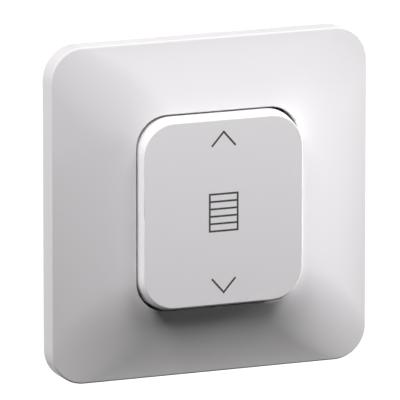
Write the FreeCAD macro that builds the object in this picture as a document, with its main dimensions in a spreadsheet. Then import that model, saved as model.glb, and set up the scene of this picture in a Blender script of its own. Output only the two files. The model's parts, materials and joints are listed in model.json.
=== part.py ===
"""Flush roller shutter switch: cover plate, one rocker key, steel frame and mechanism.

The origin is the middle of the plate's rear rim, in the plane of the wall.
X runs to the right, Z up and Y into the wall, so everything in front of the wall has
a negative Y. Sizes are in millimetres. A length that ends in _front is measured from
the wall towards the room, and one that ends in _rear is measured into the wall.
"""
import FreeCAD, Part
import math
import os
import re

import Sketcher
from FreeCAD import Placement, Rotation, Vector

os.makedirs("parts", exist_ok=True)
doc = FreeCAD.newDocument("roller_shutter_switch")

# Driving sizes
SIZES = [
    ("plate_side", 82.0, "side of the square cover plate"),
    ("plate_corner", 8.3, "corner radius of the plate"),
    ("rim_depth", 5.2, "straight rim, from the wall to its front edge"),
    ("rim_edge", 0.5, "rounding of the rim's front edge"),
    ("plate_wall", 2.0, "thickness of the plate"),
    ("flank_curve", 1.2, "power that hollows the plate's flanks, 1 is straight"),
    ("flank_swell", 5.0, "how much rounder the flanks' corners are halfway up"),
    ("plate_rib", 1.2, "thickness of the stiffening ribs inside the plate"),
    ("plate_rib_spread", 9.0, "stiffening ribs, from the plate's middle"),
    ("plate_rib_end", 4.5, "outer end of a stiffening rib, from the plate's side"),
    ("opening_front", 10.1, "front of the plate's opening"),
    ("opening_width", 42.1, "opening, side to side"),
    ("opening_height", 47.9, "opening, bottom to top"),
    ("opening_corner", 7.8, "corner radius of the opening"),
    ("opening_edge", 0.2, "rounding round the opening's front"),
    ("collar_wall", 1.6, "wall of the collar round the opening"),
    ("collar_gap", 0.3, "between the collar and the mechanism behind it"),
    ("key_gap", 0.4, "between the key and the opening, along its sides"),
    ("key_front", 13.5, "face of the key"),
    ("key_draft", 0.15, "how much the key narrows on each side"),
    ("key_slope", 1.05, "how much the key narrows at its top and bottom"),
    ("key_corner_more", 0.9, "how much rounder the key's corners are than the opening's"),
    ("key_corner_step", 0.4, "how much the corner radius shrinks towards the face"),
    ("key_edge", 0.2, "rounding round the key's face"),
    ("key_wall", 1.8, "wall of the key"),
    ("key_rib", 1.2, "thickness of the ribs inside the key"),
    ("key_rib_height", 2.3, "ribs between the key and the rocker behind it"),
    ("skirt_gap", 0.84, "left behind the key's skirt at full tilt"),
    ("clip_width", 4.0, "clips of the key, side to side"),
    ("clip_wall", 1.6, "thickness of a clip"),
    ("clip_catch", 0.7, "how far a clip's catch stands out"),
    ("clip_tip", 0.8, "height of a clip's catch behind the rocker"),
    ("clip_side", 6.0, "middle of a clip, from the rocker's side"),
    ("clip_end", 5.5, "inner face of a clip, from the rocker's end"),
    ("clip_room", 0.2, "room round a clip in its slot"),
    ("tilt_limit", 5.0, "tilt of the key each way, in degrees"),
    ("stop_gap", 0.1, "left between the rocker's feet and their stop at full tilt"),
    ("frame_room", 3.5, "between the frame and the plate's inner side"),
    ("frame_corner", 4.0, "corner radius of the frame"),
    ("frame_sheet", 1.2, "sheet of the frame"),
    ("frame_window_corner", 2.5, "corner radius of the frame's window"),
    ("window_web", 1.3, "sheet left between the window and the assembly screws"),
    ("frame_hole_radius", 1.6, "corner holes of the frame"),
    ("frame_hole_inset", 4.5, "corner holes, from the frame's sides"),
    ("bead_width", 2.6, "pressed stiffening bead, across"),
    ("bead_height", 0.5, "how far a bead stands out of the sheet"),
    ("bead_inset", 3.5, "middle of a bead, from the frame's side"),
    ("bead_long", 16.0, "beads along the top and the bottom"),
    ("bead_short", 10.0, "beads along the sides"),
    ("bead_start", 3.9, "from a box screw's slot to the next bead"),
    ("box_pitch", 60.0, "pitch of the wall box screws"),
    ("box_slot_length", 6.5, "slot for a box screw, end to end"),
    ("box_slot_width", 4.2, "slot for a box screw, across"),
    ("tab_reach", 27.0, "inner face of the bent tabs, from the middle"),
    ("tab_centre", 21.0, "height of the bent tabs above and below the middle"),
    ("tab_width", 9.0, "width of a bent tab"),
    ("tab_room", 0.88, "between the front end of a tab and the plate"),
    ("tab_bridge", 0.8, "sheet left in front of a tab's catch hole"),
    ("tab_hole_width", 5.0, "catch hole in a tab, along the tab"),
    ("tab_hole_depth", 1.8, "catch hole in a tab, front to rear"),
    ("snap_wall", 1.4, "thickness of the plate's snap arms"),
    ("snap_gap", 0.3, "between a snap arm and its tab"),
    ("snap_inset", 1.0, "how much narrower than its tab a snap arm is, at each side"),
    ("catch_gap", 0.15, "round the catch in its hole"),
    ("base_width", 36.0, "housing base, side to side"),
    ("base_height", 42.0, "housing base, bottom to top"),
    ("base_depth", 24.0, "housing base, from the wall to its rear face"),
    ("base_corner", 2.5, "corner radius of the base"),
    ("base_edge", 1.0, "rounding round the base's rear face"),
    ("base_wall", 1.8, "side wall of the base"),
    ("base_floor", 3.0, "rear wall of the base"),
    ("cavity_round", 1.0, "corner radius inside the base"),
    ("relief_wall", 2.0, "wall left round the hollows behind the base"),
    ("relief_end", 6.5, "outer end of those hollows, from the base's end"),
    ("flange_margin", 1.8, "flange of the mechanism cover beside the ears"),
    ("flange_height", 50.0, "that flange, bottom to top"),
    ("flange_corner", 4.0, "corner radius of the flange"),
    ("flange_thickness", 2.0, "thickness of the flange"),
    ("collar_depth", 1.0, "locating ring of the mechanism cover, behind the wall"),
    ("ring_wall", 1.2, "wall of the locating ring"),
    ("fit_gap", 0.1, "between fixed parts that fit into each other"),
    ("overlap", 0.5, "how far a feature starts inside the one that carries it"),
    ("ear_wall", 1.6, "thickness of a bearing ear"),
    ("ear_gap", 0.6, "between the rocker and an ear"),
    ("ear_room", 0.75, "between an ear and the key's wall"),
    ("ear_radius", 3.2, "round top of an ear"),
    ("trunnion_radius", 1.4, "trunnions of the rocker"),
    ("pivot_play", 0.05, "radial running clearance of every pivot"),
    ("pivot_drop", 2.4, "pivot axis of the rocker, behind its front"),
    ("rocker_end_room", 4.35, "between the rocker and the key's wall, top and bottom"),
    ("rocker_corner", 1.5, "corner radius of the rocker plate"),
    ("rocker_plate", 1.8, "thickness of the rocker plate"),
    ("rocker_rib", 1.2, "thickness of the ribs behind the rocker plate"),
    ("rocker_rib_height", 1.6, "height of those ribs"),
    ("rocker_rib_drop", 3.3, "from a rib to the clips"),
    ("cheek_wall", 2.0, "thickness of the cheeks that carry the trunnions"),
    ("cheek_height", 10.0, "cheeks, bottom to top"),
    ("foot_width", 5.8, "stop feet of the rocker, side to side"),
    ("foot_wall", 2.0, "stop feet, bottom to top"),
    ("foot_gap", 0.5, "between a foot and the nearest screw head"),
    ("tube_radius", 3.2, "plunger tube of the rocker"),
    ("tube_rear", 1.4, "rear end of the plunger tube"),
    ("tube_room", 0.5, "room round the swinging tube in the cover"),
    ("passage_corner", 2.0, "corner radius of that room"),
    ("plunger_radius", 1.9, "plunger"),
    ("plunger_slide", 0.1, "radial clearance of the plunger in its bore"),
    ("plunger_stroke", 1.0, "how far the plunger can be pushed in"),
    ("plunger_nose", 1.2, "rounded nose of the plunger, radius"),
    ("plunger_neck", 1.8, "nose of the plunger, from its shoulder to its tip"),
    ("plunger_head", 3.0, "front end of the plunger"),
    ("nose_gap", 0.1, "between the plunger's nose and the seesaw"),
    ("spring_wire", 0.2, "wire radius of the plunger spring"),
    ("spring_turns", 4.0, "turns of the plunger spring"),
    ("spring_slack", 0.4, "room left by the pressed spring"),
    ("seesaw_rear", 6.5, "pivot axis of the seesaw"),
    ("seesaw_width", 6.0, "seesaw, side to side"),
    ("seesaw_end", 1.8, "seesaw beyond the middle of its contacts"),
    ("seesaw_tab", 0.4, "side tabs of the seesaw beyond the cradle"),
    ("strip_sheet", 0.8, "sheet of the brass parts"),
    ("strip_bend", 0.4, "inner radius of the bends in them"),
    ("dome_radius", 1.6, "moving contact, radius"),
    ("dome_height", 0.6, "moving contact, height"),
    ("contact_radius", 1.8, "fixed contact, radius"),
    ("contact_height", 0.7, "fixed contact, height"),
    ("contact_rim", 0.6, "strip round a fixed contact"),
    ("shank_radius", 0.9, "hole for the shank of a contact"),
    ("contact_gap", 0.1, "left between closed contacts"),
    ("cradle_gap", 0.5, "between the seesaw and the cradle's uprights"),
    ("cradle_seat", 0.2, "between the seesaw's tabs and the bottom of their notch"),
    ("cradle_notch", 2.0, "notch of the cradle, across"),
    ("cradle_height", 4.0, "uprights of the cradle, bottom to top"),
    ("terminal_gap", 3.0, "between a terminal and a screw boss"),
    ("terminal_side_gap", 0.2, "between a terminal and the sides of its chamber"),
    ("leg_gap", 0.5, "between a terminal's leg and the end of its chamber"),
    ("chamber_wall", 4.3, "from a clamp chamber to the base's side"),
    ("chamber_length", 7.9, "clamp chamber, side to side"),
    ("chamber_height", 5.6, "clamp chamber, bottom to top"),
    ("wire_inset", 2.5, "wire entry, from the outer end of its chamber"),
    ("wire_radius", 1.4, "wire entry"),
    ("wire_funnel", 0.4, "rounding of a wire entry's mouth"),
    ("clamp_sheet", 0.4, "sheet of the clamp springs"),
    ("clamp_bend", 0.25, "inner radius of their bends"),
    ("clamp_back", 1.3, "back of a clamp spring, between its bends"),
    ("clamp_side_gap", 0.6, "between a clamp spring and its chamber's sides"),
    ("clamp_start", 1.8, "fixed end of a clamp spring, behind the ledge"),
    ("clamp_tip", 2.6, "free end of a clamp spring, behind the ledge"),
    ("clamp_rest", 0.6, "between a clamp spring and a pressed button's flange"),
    ("button_inset", 0.6, "release button, from the inner end of its chamber"),
    ("button_width", 2.4, "release button, side to side"),
    ("button_side_gap", 0.5, "between a release button and its chamber's sides"),
    ("button_flange", 0.8, "thickness of the button's stop flange"),
    ("button_lip", 0.3, "how far that flange stands out"),
    ("button_nose", 2.1, "nose of the button, into the chamber"),
    ("button_nose_width", 0.8, "nose of the button, side to side"),
    ("button_proud", 0.9, "release button, proud of the rear face"),
    ("button_stroke", 1.6, "travel of a release button"),
    ("slit_width", 0.8, "slit for a screwdriver in the button"),
    ("slit_length", 2.8, "length of that slit"),
    ("slit_depth", 0.5, "depth of that slit"),
    ("claw_room", 0.4, "between a claw's barrel and its neighbours"),
    ("claw_pin_rear", 9.0, "claw pins, behind the wall"),
    ("claw_pin_radius", 0.8, "claw pin"),
    ("claw_pin_head", 0.4, "how far the head of a claw pin stands out"),
    ("claw_pin_head_height", 0.6, "height of that head"),
    ("claw_pin_end", 0.3, "claw pin beyond its upper ear"),
    ("claw_barrel", 1.5, "barrel of a claw, radius"),
    ("claw_sheet", 1.4, "sheet of the claws"),
    ("claw_width", 8.0, "width of a claw"),
    ("claw_length", 13.5, "arm of a claw behind its pin"),
    ("claw_knee", 0.6, "where the arm bends, as a share of its length"),
    ("claw_edge", 1.2, "height of the toothed edge"),
    ("claw_flare", 4.6, "how far a claw's teeth stand out from its pin"),
    ("claw_lug_end", 4.0, "lug of a claw beyond its screw's axis"),
    ("claw_lug_wall", 1.0, "lug left beyond the screw's slot"),
    ("claw_slot_room", 0.3, "room beside the screw in the claw's slot"),
    ("claw_slot_gap", 0.2, "between that slot and the barrel"),
    ("tooth_pitch", 2.0, "pitch of a claw's teeth"),
    ("tooth_notch", 1.6, "width of the notch between two teeth"),
    ("tooth_depth", 1.3, "depth of that notch"),
    ("claw_ear_wall", 1.4, "wall of the ears that carry a claw pin"),
    ("claw_ear_depth", 4.0, "those ears, front to rear"),
    ("claw_ear_rim", 0.8, "ear beyond the claw pin"),
    ("claw_side_gap", 0.15, "between a claw and its ears"),
    ("claw_screw_radius", 1.5, "claw screw"),
    ("claw_screw_rear", 14.5, "rear end of the claw screws"),
    ("claw_screw_head", 2.4, "head of a claw screw, radius"),
    ("claw_screw_head_height", 1.8, "head of a claw screw, height"),
    ("claw_screw_gap", 0.9, "between that head and the cover's flange"),
    ("screw_room", 0.1, "radial room of a screw in the hole it passes"),
    ("cross_slot", 0.6, "width of the cross slot of a screw"),
    ("assembly_inset", 3.4, "assembly screws, from the sides of the base"),
    ("assembly_radius", 1.1, "assembly screw"),
    ("assembly_head", 2.2, "head of an assembly screw, radius"),
    ("assembly_head_height", 1.3, "head of an assembly screw, height"),
    ("assembly_sink", 1.2, "counterbore for that head"),
    ("assembly_rear", 8.0, "rear end of the assembly screws"),
    ("pilot_end", 0.5, "pilot hole beyond the end of its screw"),
    ("boss_radius", 2.8, "screw bosses of the base"),
]


def plate_front(distance, opening):
    """Front of the plate's outside at a distance from its middle, towards one side."""
    share = f"((plate_side / 2 - ({distance})) / (plate_side / 2 - {opening} / 2))"
    return f"rim_depth + (opening_front - rim_depth) * {share} ^ flank_curve"


# Sizes that follow from the driving ones, so that what fits together stays together
FITS = [
    ("flange_front", "frame_sheet + flange_thickness", "front of the cover's flange"),
    ("collar_front", "flange_front + collar_gap", "rear edge of the collar"),
    ("key_base_width", "opening_width - 2 * key_gap", "skirt of the key, side to side"),
    ("key_base_height", "opening_height - 2 * key_gap", "skirt of the key, bottom to top"),
    ("key_base_corner", "opening_corner - key_gap + key_corner_more", "corner radius of the skirt"),
    ("key_face_width", "key_base_width - 2 * key_draft", "face of the key, side to side"),
    ("key_face_height", "key_base_height - 2 * key_slope", "face of the key, bottom to top"),
    ("key_face_corner", "key_base_corner - key_corner_step", "corner radius of the face"),
    ("key_skirt_front", "flange_front + key_base_height / 2 * sin(tilt_limit) + skirt_gap",
     "rear edge of the key's skirt"),
    ("key_inner_front", "key_front - key_wall", "inner face of the key"),
    ("rocker_front", "key_inner_front - key_rib_height", "front of the rocker plate"),
    ("rocker_rear_front", "rocker_front - rocker_plate", "rear of the rocker plate"),
    ("pivot_front", "rocker_front - pivot_drop", "pivot axis of the key"),
    ("rocker_width", "key_base_width - 2 * (key_wall + ear_room + ear_wall + ear_gap)",
     "rocker plate, side to side"),
    ("rocker_height", "key_base_height - 2 * (key_wall + rocker_end_room)",
     "rocker plate, bottom to top"),
    ("clip_x", "rocker_width / 2 - clip_side", "middle of a clip"),
    ("clip_z", "rocker_height / 2 - clip_end", "inner face of a clip"),
    ("clip_end_front", "rocker_rear_front - clip_tip", "rear end of the clips"),
    ("ear_inside", "rocker_width / 2 + ear_gap", "inner face of the ears"),
    ("ear_outside", "ear_inside + ear_wall", "outer face of the ears"),
    ("trunnion_end", "ear_outside - fit_gap", "outer end of the trunnions"),
    ("bearing_radius", "trunnion_radius + pivot_play", "bearing in an ear"),
    ("flange_width", "2 * (ear_outside + flange_margin)", "flange, side to side"),
    ("foot_front", "pivot_front - (pivot_front - flange_front - stop_gap"
     " - rocker_height / 2 * sin(tilt_limit)) / cos(tilt_limit)", "end of the stop feet"),
    ("assembly_x", "base_width / 2 - assembly_inset", "assembly screws, sideways"),
    ("assembly_z", "base_height / 2 - assembly_inset", "assembly screws, up and down"),
    ("assembly_hole", "assembly_radius + 2 * screw_room", "hole for an assembly screw"),
    ("foot_outer", "assembly_x - assembly_head - screw_room - foot_gap",
     "outer side of the stop feet"),
    ("frame_side", "plate_side - 2 * (plate_wall + frame_room)", "side of the steel frame"),
    ("frame_window_width", "2 * (assembly_x - assembly_hole - window_web)",
     "window of the frame, side to side"),
    ("frame_window_height", "2 * (assembly_z - assembly_hole - window_web)",
     "window of the frame, bottom to top"),
    ("ring_width", "frame_window_width - 2 * fit_gap", "locating ring, side to side"),
    ("ring_height", "frame_window_height - 2 * fit_gap", "locating ring, bottom to top"),
    ("bore_radius", "plunger_radius + plunger_slide", "bore for the plunger"),
    ("bore_front", "plunger_head + 2 * spring_wire * (spring_turns + 1) + plunger_stroke"
     " + spring_slack", "blind end of the plunger's bore"),
    ("coil_length", "bore_front - plunger_head - 2 * spring_wire - 2 * fit_gap",
     "plunger spring, between the middles of its end turns"),
    ("coil_radius", "plunger_radius - spring_wire - fit_gap", "middle of the spring's wire"),
    ("coil_rise", "coil_length / (2 * spring_turns)", "rise of the spring in half a turn"),
    ("tube_swing", "(pivot_front + tube_rear) * sin(tilt_limit)", "swing of the tube's end"),
    ("seesaw_tilt", "2 * tilt_limit", "tilt of the seesaw each way, in degrees"),
    ("seesaw_face", "seesaw_rear - strip_sheet / 2", "front face of the seesaw"),
    ("seesaw_back", "seesaw_rear + strip_sheet / 2", "rear face of the seesaw"),
    ("plunger_tip", "seesaw_face - nose_gap", "tip of the plunger"),
    ("contact_reach", "assembly_z - boss_radius - terminal_gap - terminal_width / 2",
     "contacts above and below the seesaw's axis"),
    ("dome_sphere", "(dome_radius ^ 2 + dome_height ^ 2) / (2 * dome_height)",
     "radius of the moving contact's dome"),
    ("dome_centre", "seesaw_back + dome_height - dome_sphere", "centre of that dome"),
    ("contact_face", "seesaw_rear + (dome_centre - seesaw_rear) * cos(seesaw_tilt)"
     " + contact_reach * sin(seesaw_tilt) + dome_sphere + contact_gap",
     "face of the fixed contacts, where the domes close on them"),
    ("strip_face", "contact_face + contact_height", "front face of the terminal strips"),
    ("ledge", "strip_face + strip_sheet", "ledge of the base that carries the strips"),
    ("cradle_inside", "seesaw_width / 2 + cradle_gap", "inner face of the cradle"),
    ("cradle_outside", "cradle_inside + strip_sheet", "outer face of the cradle"),
    ("chamber_end", "base_depth - base_floor", "rear end of the clamp chambers"),
    ("chamber_outer", "base_width / 2 - chamber_wall", "outer end of a clamp chamber"),
    ("chamber_inner", "chamber_outer - chamber_length", "inner end of a clamp chamber"),
    ("wire_reach", "chamber_outer - wire_inset", "wire entries, from the middle"),
    ("terminal_width", "chamber_height - 2 * terminal_side_gap",
     "terminal strips, bottom to top"),
    ("leg_outer", "chamber_outer - fit_gap", "outer face of a terminal's leg"),
    ("leg_end", "chamber_end - leg_gap", "rear end of a terminal's leg"),
    ("clamp_width", "chamber_height - 2 * clamp_side_gap", "width of the clamp springs"),
    ("button_inner", "chamber_inner + button_inset", "inner side of a release button"),
    ("button_outer", "button_inner + button_width", "outer side of a release button"),
    ("button_height", "chamber_height - 2 * button_side_gap",
     "release button, bottom to top"),
    ("button_end", "base_depth + button_proud", "rear end of a release button"),
    ("tab_outside", "tab_reach + frame_sheet", "outer face of the bent tabs"),
    ("tab_front", plate_front("tab_outside", "opening_width") + " - plate_wall - tab_room",
     "front end of the bent tabs"),
    ("tab_hole_front", "tab_front - tab_bridge", "front edge of the catch holes"),
    ("snap_inner", "tab_outside + snap_gap", "inner face of the snap arms"),
    ("snap_outer", "snap_inner + snap_wall", "outer face of the snap arms"),
    ("snap_root", plate_front("snap_outer", "opening_width") + " - plate_wall / 2",
     "front end of the snap arms, inside the plate's wall"),
    ("snap_end", "frame_sheet + snap_gap", "rear end of the snap arms"),
    ("cavity_side", "plate_side - 2 * plate_wall", "hollow of the plate at the wall"),
    ("cavity_corner", "plate_corner - plate_wall", "corner radius of the hollow"),
    ("rib_rear_front", "collar_front + overlap", "rear edge of the plate's ribs"),
    ("rib_outer", "plate_side / 2 - plate_rib_end", "outer end of the plate's ribs"),
    ("claw_pin_reach", "base_width / 2 + claw_barrel + claw_room", "claw pins, sideways"),
    ("claw_bore", "claw_pin_radius + pivot_play", "bore for a claw pin"),
    ("claw_ear_inside", "claw_width / 2 + claw_side_gap", "inner face of the claw ears"),
    ("claw_ear_outside", "claw_ear_inside + claw_ear_wall", "outer face of the claw ears"),
    ("claw_screw_reach", "max(flange_width / 2 + claw_screw_head + claw_screw_gap;"
     " claw_pin_reach + claw_barrel + claw_screw_radius + claw_room)",
     "claw screws, beside both the cover's flange and the barrels"),
    ("claw_screw_hole", "claw_screw_radius + screw_room", "hole for a claw screw"),
    ("claw_slot_half", "claw_screw_radius + claw_slot_room", "half the slot in a claw"),
    ("claw_knee_rear", "claw_pin_rear + claw_length * claw_knee", "bend of a claw's arm"),
    ("claw_end", "claw_pin_rear + claw_length", "toothed end of a claw"),
]


def make_sheet(name, rows):
    """Write one spreadsheet: a name, a value with its alias and a meaning in each row."""
    sheet = doc.addObject("Spreadsheet::Sheet", name)
    for row, (word, number, meaning) in enumerate(rows, start=1):
        sheet.set(f"A{row}", word)
        sheet.set(f"B{row}", str(number))
        sheet.set(f"C{row}", meaning)
        sheet.setAlias(f"B{row}", word)
    return sheet


SHEET_OF = {word: "sizes" for word, _, _ in SIZES}
SHEET_OF.update({word: "fits" for word, _, _ in FITS})


def bound(text):
    """Turn plain words such as plate_side / 2 into references to the spreadsheets."""

    def with_sheet(found):
        word = found[0]
        return f"{SHEET_OF[word]}.{word}" if word in SHEET_OF else word

    return re.sub(r"[a-z_]{3,}", with_sheet, str(text))


make_sheet("sizes", SIZES)
fits = make_sheet("fits", [(word, "=" + bound(text), meaning) for word, text, meaning in FITS])
doc.recompute()


def value(text):
    """The present value of an expression on the spreadsheets."""
    return float(fits.evalExpression(bound(text)))


nodes = {}


def keep(label, piece):
    """Register a finished sub-part under its node name."""
    piece.Label = label
    nodes[label] = piece


# Primitives and booleans, all bound to the spreadsheets
def block(name, x, y, z):
    """Rectangular block between a low and a high expression on each axis."""
    piece = doc.addObject("Part::Box", name)
    for axis, side, (low, high) in (("x", "Length", x), ("y", "Width", y), ("z", "Height", z)):
        piece.setExpression(side, bound(f"({high}) - ({low})"))
        piece.setExpression(f"Placement.Base.{axis}", bound(low))
    return piece


TURN = {
    "x": Rotation(Vector(0, 1, 0), 90),
    "y": Rotation(Vector(1, 0, 0), -90),
    "z": Rotation(),
}


def set_place(piece, place):
    """Bind the three coordinates of a piece's Placement."""
    for axis, text in zip("xyz", place):
        piece.setExpression(f"Placement.Base.{axis}", bound(text))


def rod(name, axis, span, radius, across):
    """Cylinder along one axis, from the low to the high expression of its span.

    across holds the other two coordinates, in X, Y, Z order.
    """
    piece = doc.addObject("Part::Cylinder", name)
    piece.setExpression("Radius", bound(radius))
    piece.setExpression("Height", bound(f"({span[1]}) - ({span[0]})"))
    piece.Placement = Placement(Vector(), TURN[axis])
    place = list(across)
    place.insert("xyz".index(axis), span[0])
    set_place(piece, place)
    return piece


def ball(name, radius, centre):
    """Sphere round a bound centre."""
    piece = doc.addObject("Part::Sphere", name)
    piece.setExpression("Radius", bound(radius))
    set_place(piece, centre)
    return piece


def fuse(name, *pieces):
    """One solid from several that meet."""
    piece = doc.addObject("Part::MultiFuse", name)
    piece.Shapes = list(pieces)
    piece.Refine = True
    return piece


def cut(name, base, *tools):
    """The base without its tools."""
    piece = doc.addObject("Part::Cut", name)
    piece.Base = base
    piece.Tool = tools[0] if len(tools) == 1 else fuse(name + "_tools", *tools)
    piece.Refine = True
    return piece


def common(name, first, second):
    """What two solids share."""
    piece = doc.addObject("Part::Common", name)
    piece.Base = first
    piece.Tool = second
    return piece


# Sketches and features, all bound to the spreadsheets
def make_body(name):
    """Empty PartDesign body."""
    return doc.addObject("PartDesign::Body", name)


def sketch(body, name, role, height=None):
    """Sketch on one of the body's origin planes, lifted along the plane's normal."""
    drawing = body.newObject("Sketcher::SketchObject", name)
    plane = next(item for item in body.Origin.OriginFeatures if item.Role == role)
    drawing.AttachmentSupport = (plane, [""])
    drawing.MapMode = "FlatFace"
    if height is not None:
        drawing.setExpression("AttachmentOffset.Base.z", bound(height))
    return drawing


def hold(drawing, kind, *where_and_text):
    """Add one dimension to a sketch and bind it."""
    *where, text = where_and_text
    index = drawing.addConstraint(Sketcher.Constraint(kind, *where, value(text)))
    drawing.setExpression(f"Constraints[{index}]", bound(text))


def outline(drawing, corners):
    """Closed outline through corners given as pairs of expressions."""
    first = drawing.GeometryCount
    spots = [Vector(value(across), value(up), 0) for across, up in corners]
    count = len(corners)
    for number in range(count):
        drawing.addGeometry(Part.LineSegment(spots[number], spots[(number + 1) % count]))
    for number in range(count):
        start = first + number
        following = first + (number + 1) % count
        drawing.addConstraint(Sketcher.Constraint("Coincident", start, 2, following, 1))
    for number, (across, up) in enumerate(corners):
        hold(drawing, "DistanceX", -1, 1, first + number, 1, across)
        hold(drawing, "DistanceY", -1, 1, first + number, 1, up)


def rectangle(drawing, across, up):
    """Rectangle between a low and a high expression each way."""
    low, high = up
    outline(drawing, [(across[0], low), (across[1], low), (across[1], high), (across[0], high)])


def circle(drawing, radius, centre):
    """Circle round a bound centre."""
    index = drawing.GeometryCount
    spot = Vector(value(centre[0]), value(centre[1]), 0)
    drawing.addGeometry(Part.Circle(spot, Vector(0, 0, 1), value(radius)))
    hold(drawing, "Radius", index, radius)
    hold(drawing, "DistanceX", -1, 1, index, 3, centre[0])
    hold(drawing, "DistanceY", -1, 1, index, 3, centre[1])


def rounded(drawing, width, height, radius, centre=("0", "0")):
    """Rectangle with round corners: four sides and four arcs, tangent in turn."""
    first = drawing.GeometryCount
    half_x = value(width) / 2
    half_y = value(height) / 2
    bend = value(radius)
    mid = Vector(value(centre[0]), value(centre[1]), 0)
    turns = [(1, -1), (1, 1), (-1, 1), (-1, -1)]
    middles = [mid + Vector(sx * (half_x - bend), sy * (half_y - bend), 0) for sx, sy in turns]
    for number, middle in enumerate(middles):
        start_angle = math.radians(-90 + 90 * number)
        before = middles[number - 1]
        step = Vector(math.cos(start_angle), math.sin(start_angle), 0) * bend
        drawing.addGeometry(Part.LineSegment(before + step, middle + step))
        ring = Part.Circle(middle, Vector(0, 0, 1), bend)
        drawing.addGeometry(Part.ArcOfCircle(ring, start_angle, start_angle + math.pi / 2))
    for number in range(8):
        following = first + (number + 1) % 8
        drawing.addConstraint(Sketcher.Constraint("Tangent", first + number, 2, following, 1))
    for number, level in ((0, "Horizontal"), (2, "Vertical"), (4, "Horizontal"), (6, "Vertical")):
        drawing.addConstraint(Sketcher.Constraint(level, first + number))
    for number in (3, 5, 7):
        drawing.addConstraint(Sketcher.Constraint("Equal", first + 1, first + number))
    hold(drawing, "Radius", first + 1, radius)
    hold(drawing, "DistanceX", -1, 1, first + 2, 1, f"({centre[0]}) + ({width}) / 2")
    hold(drawing, "DistanceX", -1, 1, first + 6, 1, f"({centre[0]}) - ({width}) / 2")
    hold(drawing, "DistanceY", -1, 1, first + 4, 1, f"({centre[1]}) + ({height}) / 2")
    hold(drawing, "DistanceY", -1, 1, first, 1, f"({centre[1]}) - ({height}) / 2")


ROUND_END = 0.499


def slot(drawing, length, width, centre):
    """Slot with round ends, upright where its height is the larger of the two."""
    narrow = width if value(width) < value(length) else length
    rounded(drawing, length, width, f"{ROUND_END} * {narrow}", centre)


def feature(body, kind, name, drawing, length=None, back=False, through=False):
    """Pad or Pocket of a sketch. back turns it round, and through cuts both ways."""
    item = body.newObject(f"PartDesign::{kind}", name)
    item.Profile = drawing
    if length is not None:
        item.setExpression("Length", bound(length))
    item.Reversed = back
    if through:
        item.Type = "ThroughAll"
        item.Midplane = True
    return item


def front_pad(body, name, drawing, length):
    """Pad from the sketch towards the room."""
    return feature(body, "Pad", name, drawing, length)


def front_pocket(body, name, drawing, length):
    """Pocket from the sketch towards the room."""
    return feature(body, "Pocket", name, drawing, length, back=True)


def both_ways(body, kind, name, drawing, length):
    """Pad or Pocket of one length, half of it on each side of the sketch."""
    item = feature(body, kind, name, drawing, length)
    item.Midplane = True
    return item


def loft(body, kind, name, drawings):
    """Smooth loft through sketches with the same number of sides."""
    item = body.newObject(f"PartDesign::{kind}", name)
    item.Profile = drawings[0]
    item.Sections = drawings[1:]
    return item


NEAR = 0.01


def round_edges(body, name, base, radius, test):
    """Fillet the edges of the last feature for which test is true."""
    doc.recompute()
    edges = enumerate(base.Shape.Edges, start=1)
    item = body.newObject("PartDesign::Fillet", name)
    item.Base = (base, [f"Edge{number}" for number, edge in edges if test(edge)])
    item.setExpression("Radius", bound(radius))
    return item


def lies_at(edge, rear):
    """True for an edge that stays at one depth behind the wall."""
    box = edge.BoundBox
    return abs(box.YMin - rear) < NEAR and abs(box.YMax - rear) < NEAR


def stands_at(edge, x, y):
    """True for an upright edge at one place."""
    box = edge.BoundBox
    return box.ZLength > NEAR and max(abs(box.XMin - x), abs(box.XMax - x), abs(box.YMin - y)) < NEAR


BOTH = ("", "-")
CORNERS = [(side, end) for side in BOTH for end in BOTH]


def signed(sign, low, high):
    """A pair of expressions in rising order, on the side that the sign gives."""
    return (low, high) if sign == "" else (f"-({high})", f"-({low})")


def around(middle, width):
    """A pair of expressions half a width below and above the middle."""
    return f"{middle} - {width} / 2", f"{middle} + {width} / 2"


# Cover plate: straight rim, four hollow flanks lofted up to the opening, collar, ribs
# inside, and four snap arms with catches that click into the tabs of the frame
LOFT_STEPS = 4


def flank_sections(body, name, wall):
    """Sections from the rim to the opening, for the outside or, one wall in, the hollow."""
    drawings = []
    start_width = f"(plate_side - 2 * {wall})"
    start_corner = f"(plate_corner - {wall})"
    end_grow = "2 * collar_wall" if wall != "0" else "0"
    end_corner = f"(opening_corner + ({end_grow}) / 2)"
    for step in range(LOFT_STEPS + 1):
        share = f"({step} / {LOFT_STEPS})"
        height = f"rim_depth - {wall} + (opening_front - rim_depth) * {share} ^ flank_curve"
        width = f"{start_width} + (opening_width + {end_grow} - {start_width}) * {share}"
        tall = f"{start_width} + (opening_height + {end_grow} - {start_width}) * {share}"
        swell = f"flank_swell * 4 * {share} * (1 - {share})"
        corner = f"{start_corner} + ({end_corner} - {start_corner}) * {share} + {swell}"
        drawing = sketch(body, f"{name}_{step}", "XZ_Plane", height)
        rounded(drawing, width, tall, corner)
        drawings.append(drawing)
    return drawings


def plate_ribs(body, role, opening):
    """Ribs from the collar out to the rim, two on each of two opposite sides."""
    collar = f"{opening} / 2 + collar_wall / 2"
    for sign in BOTH:
        drawing = sketch(body, f"plate_ribs_{role[:2]}{len(body.Group)}", role, f"{sign}plate_rib_spread")
        for side in BOTH:
            corners = []
            for distance, front in (
                (collar, "rib_rear_front"),
                ("rib_outer", "rib_rear_front"),
                ("rib_outer", plate_front("rib_outer", opening) + " - plate_wall / 2"),
                (collar, plate_front(collar, opening) + " - plate_wall / 2"),
            ):
                out = f"{side}({distance})"
                forward = f"-({front})"
                corners.append((out, forward) if role == "XY_Plane" else (forward, out))
            outline(drawing, corners)
        both_ways(body, "Pad", f"{drawing.Name}_pad", drawing, "plate_rib")


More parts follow.
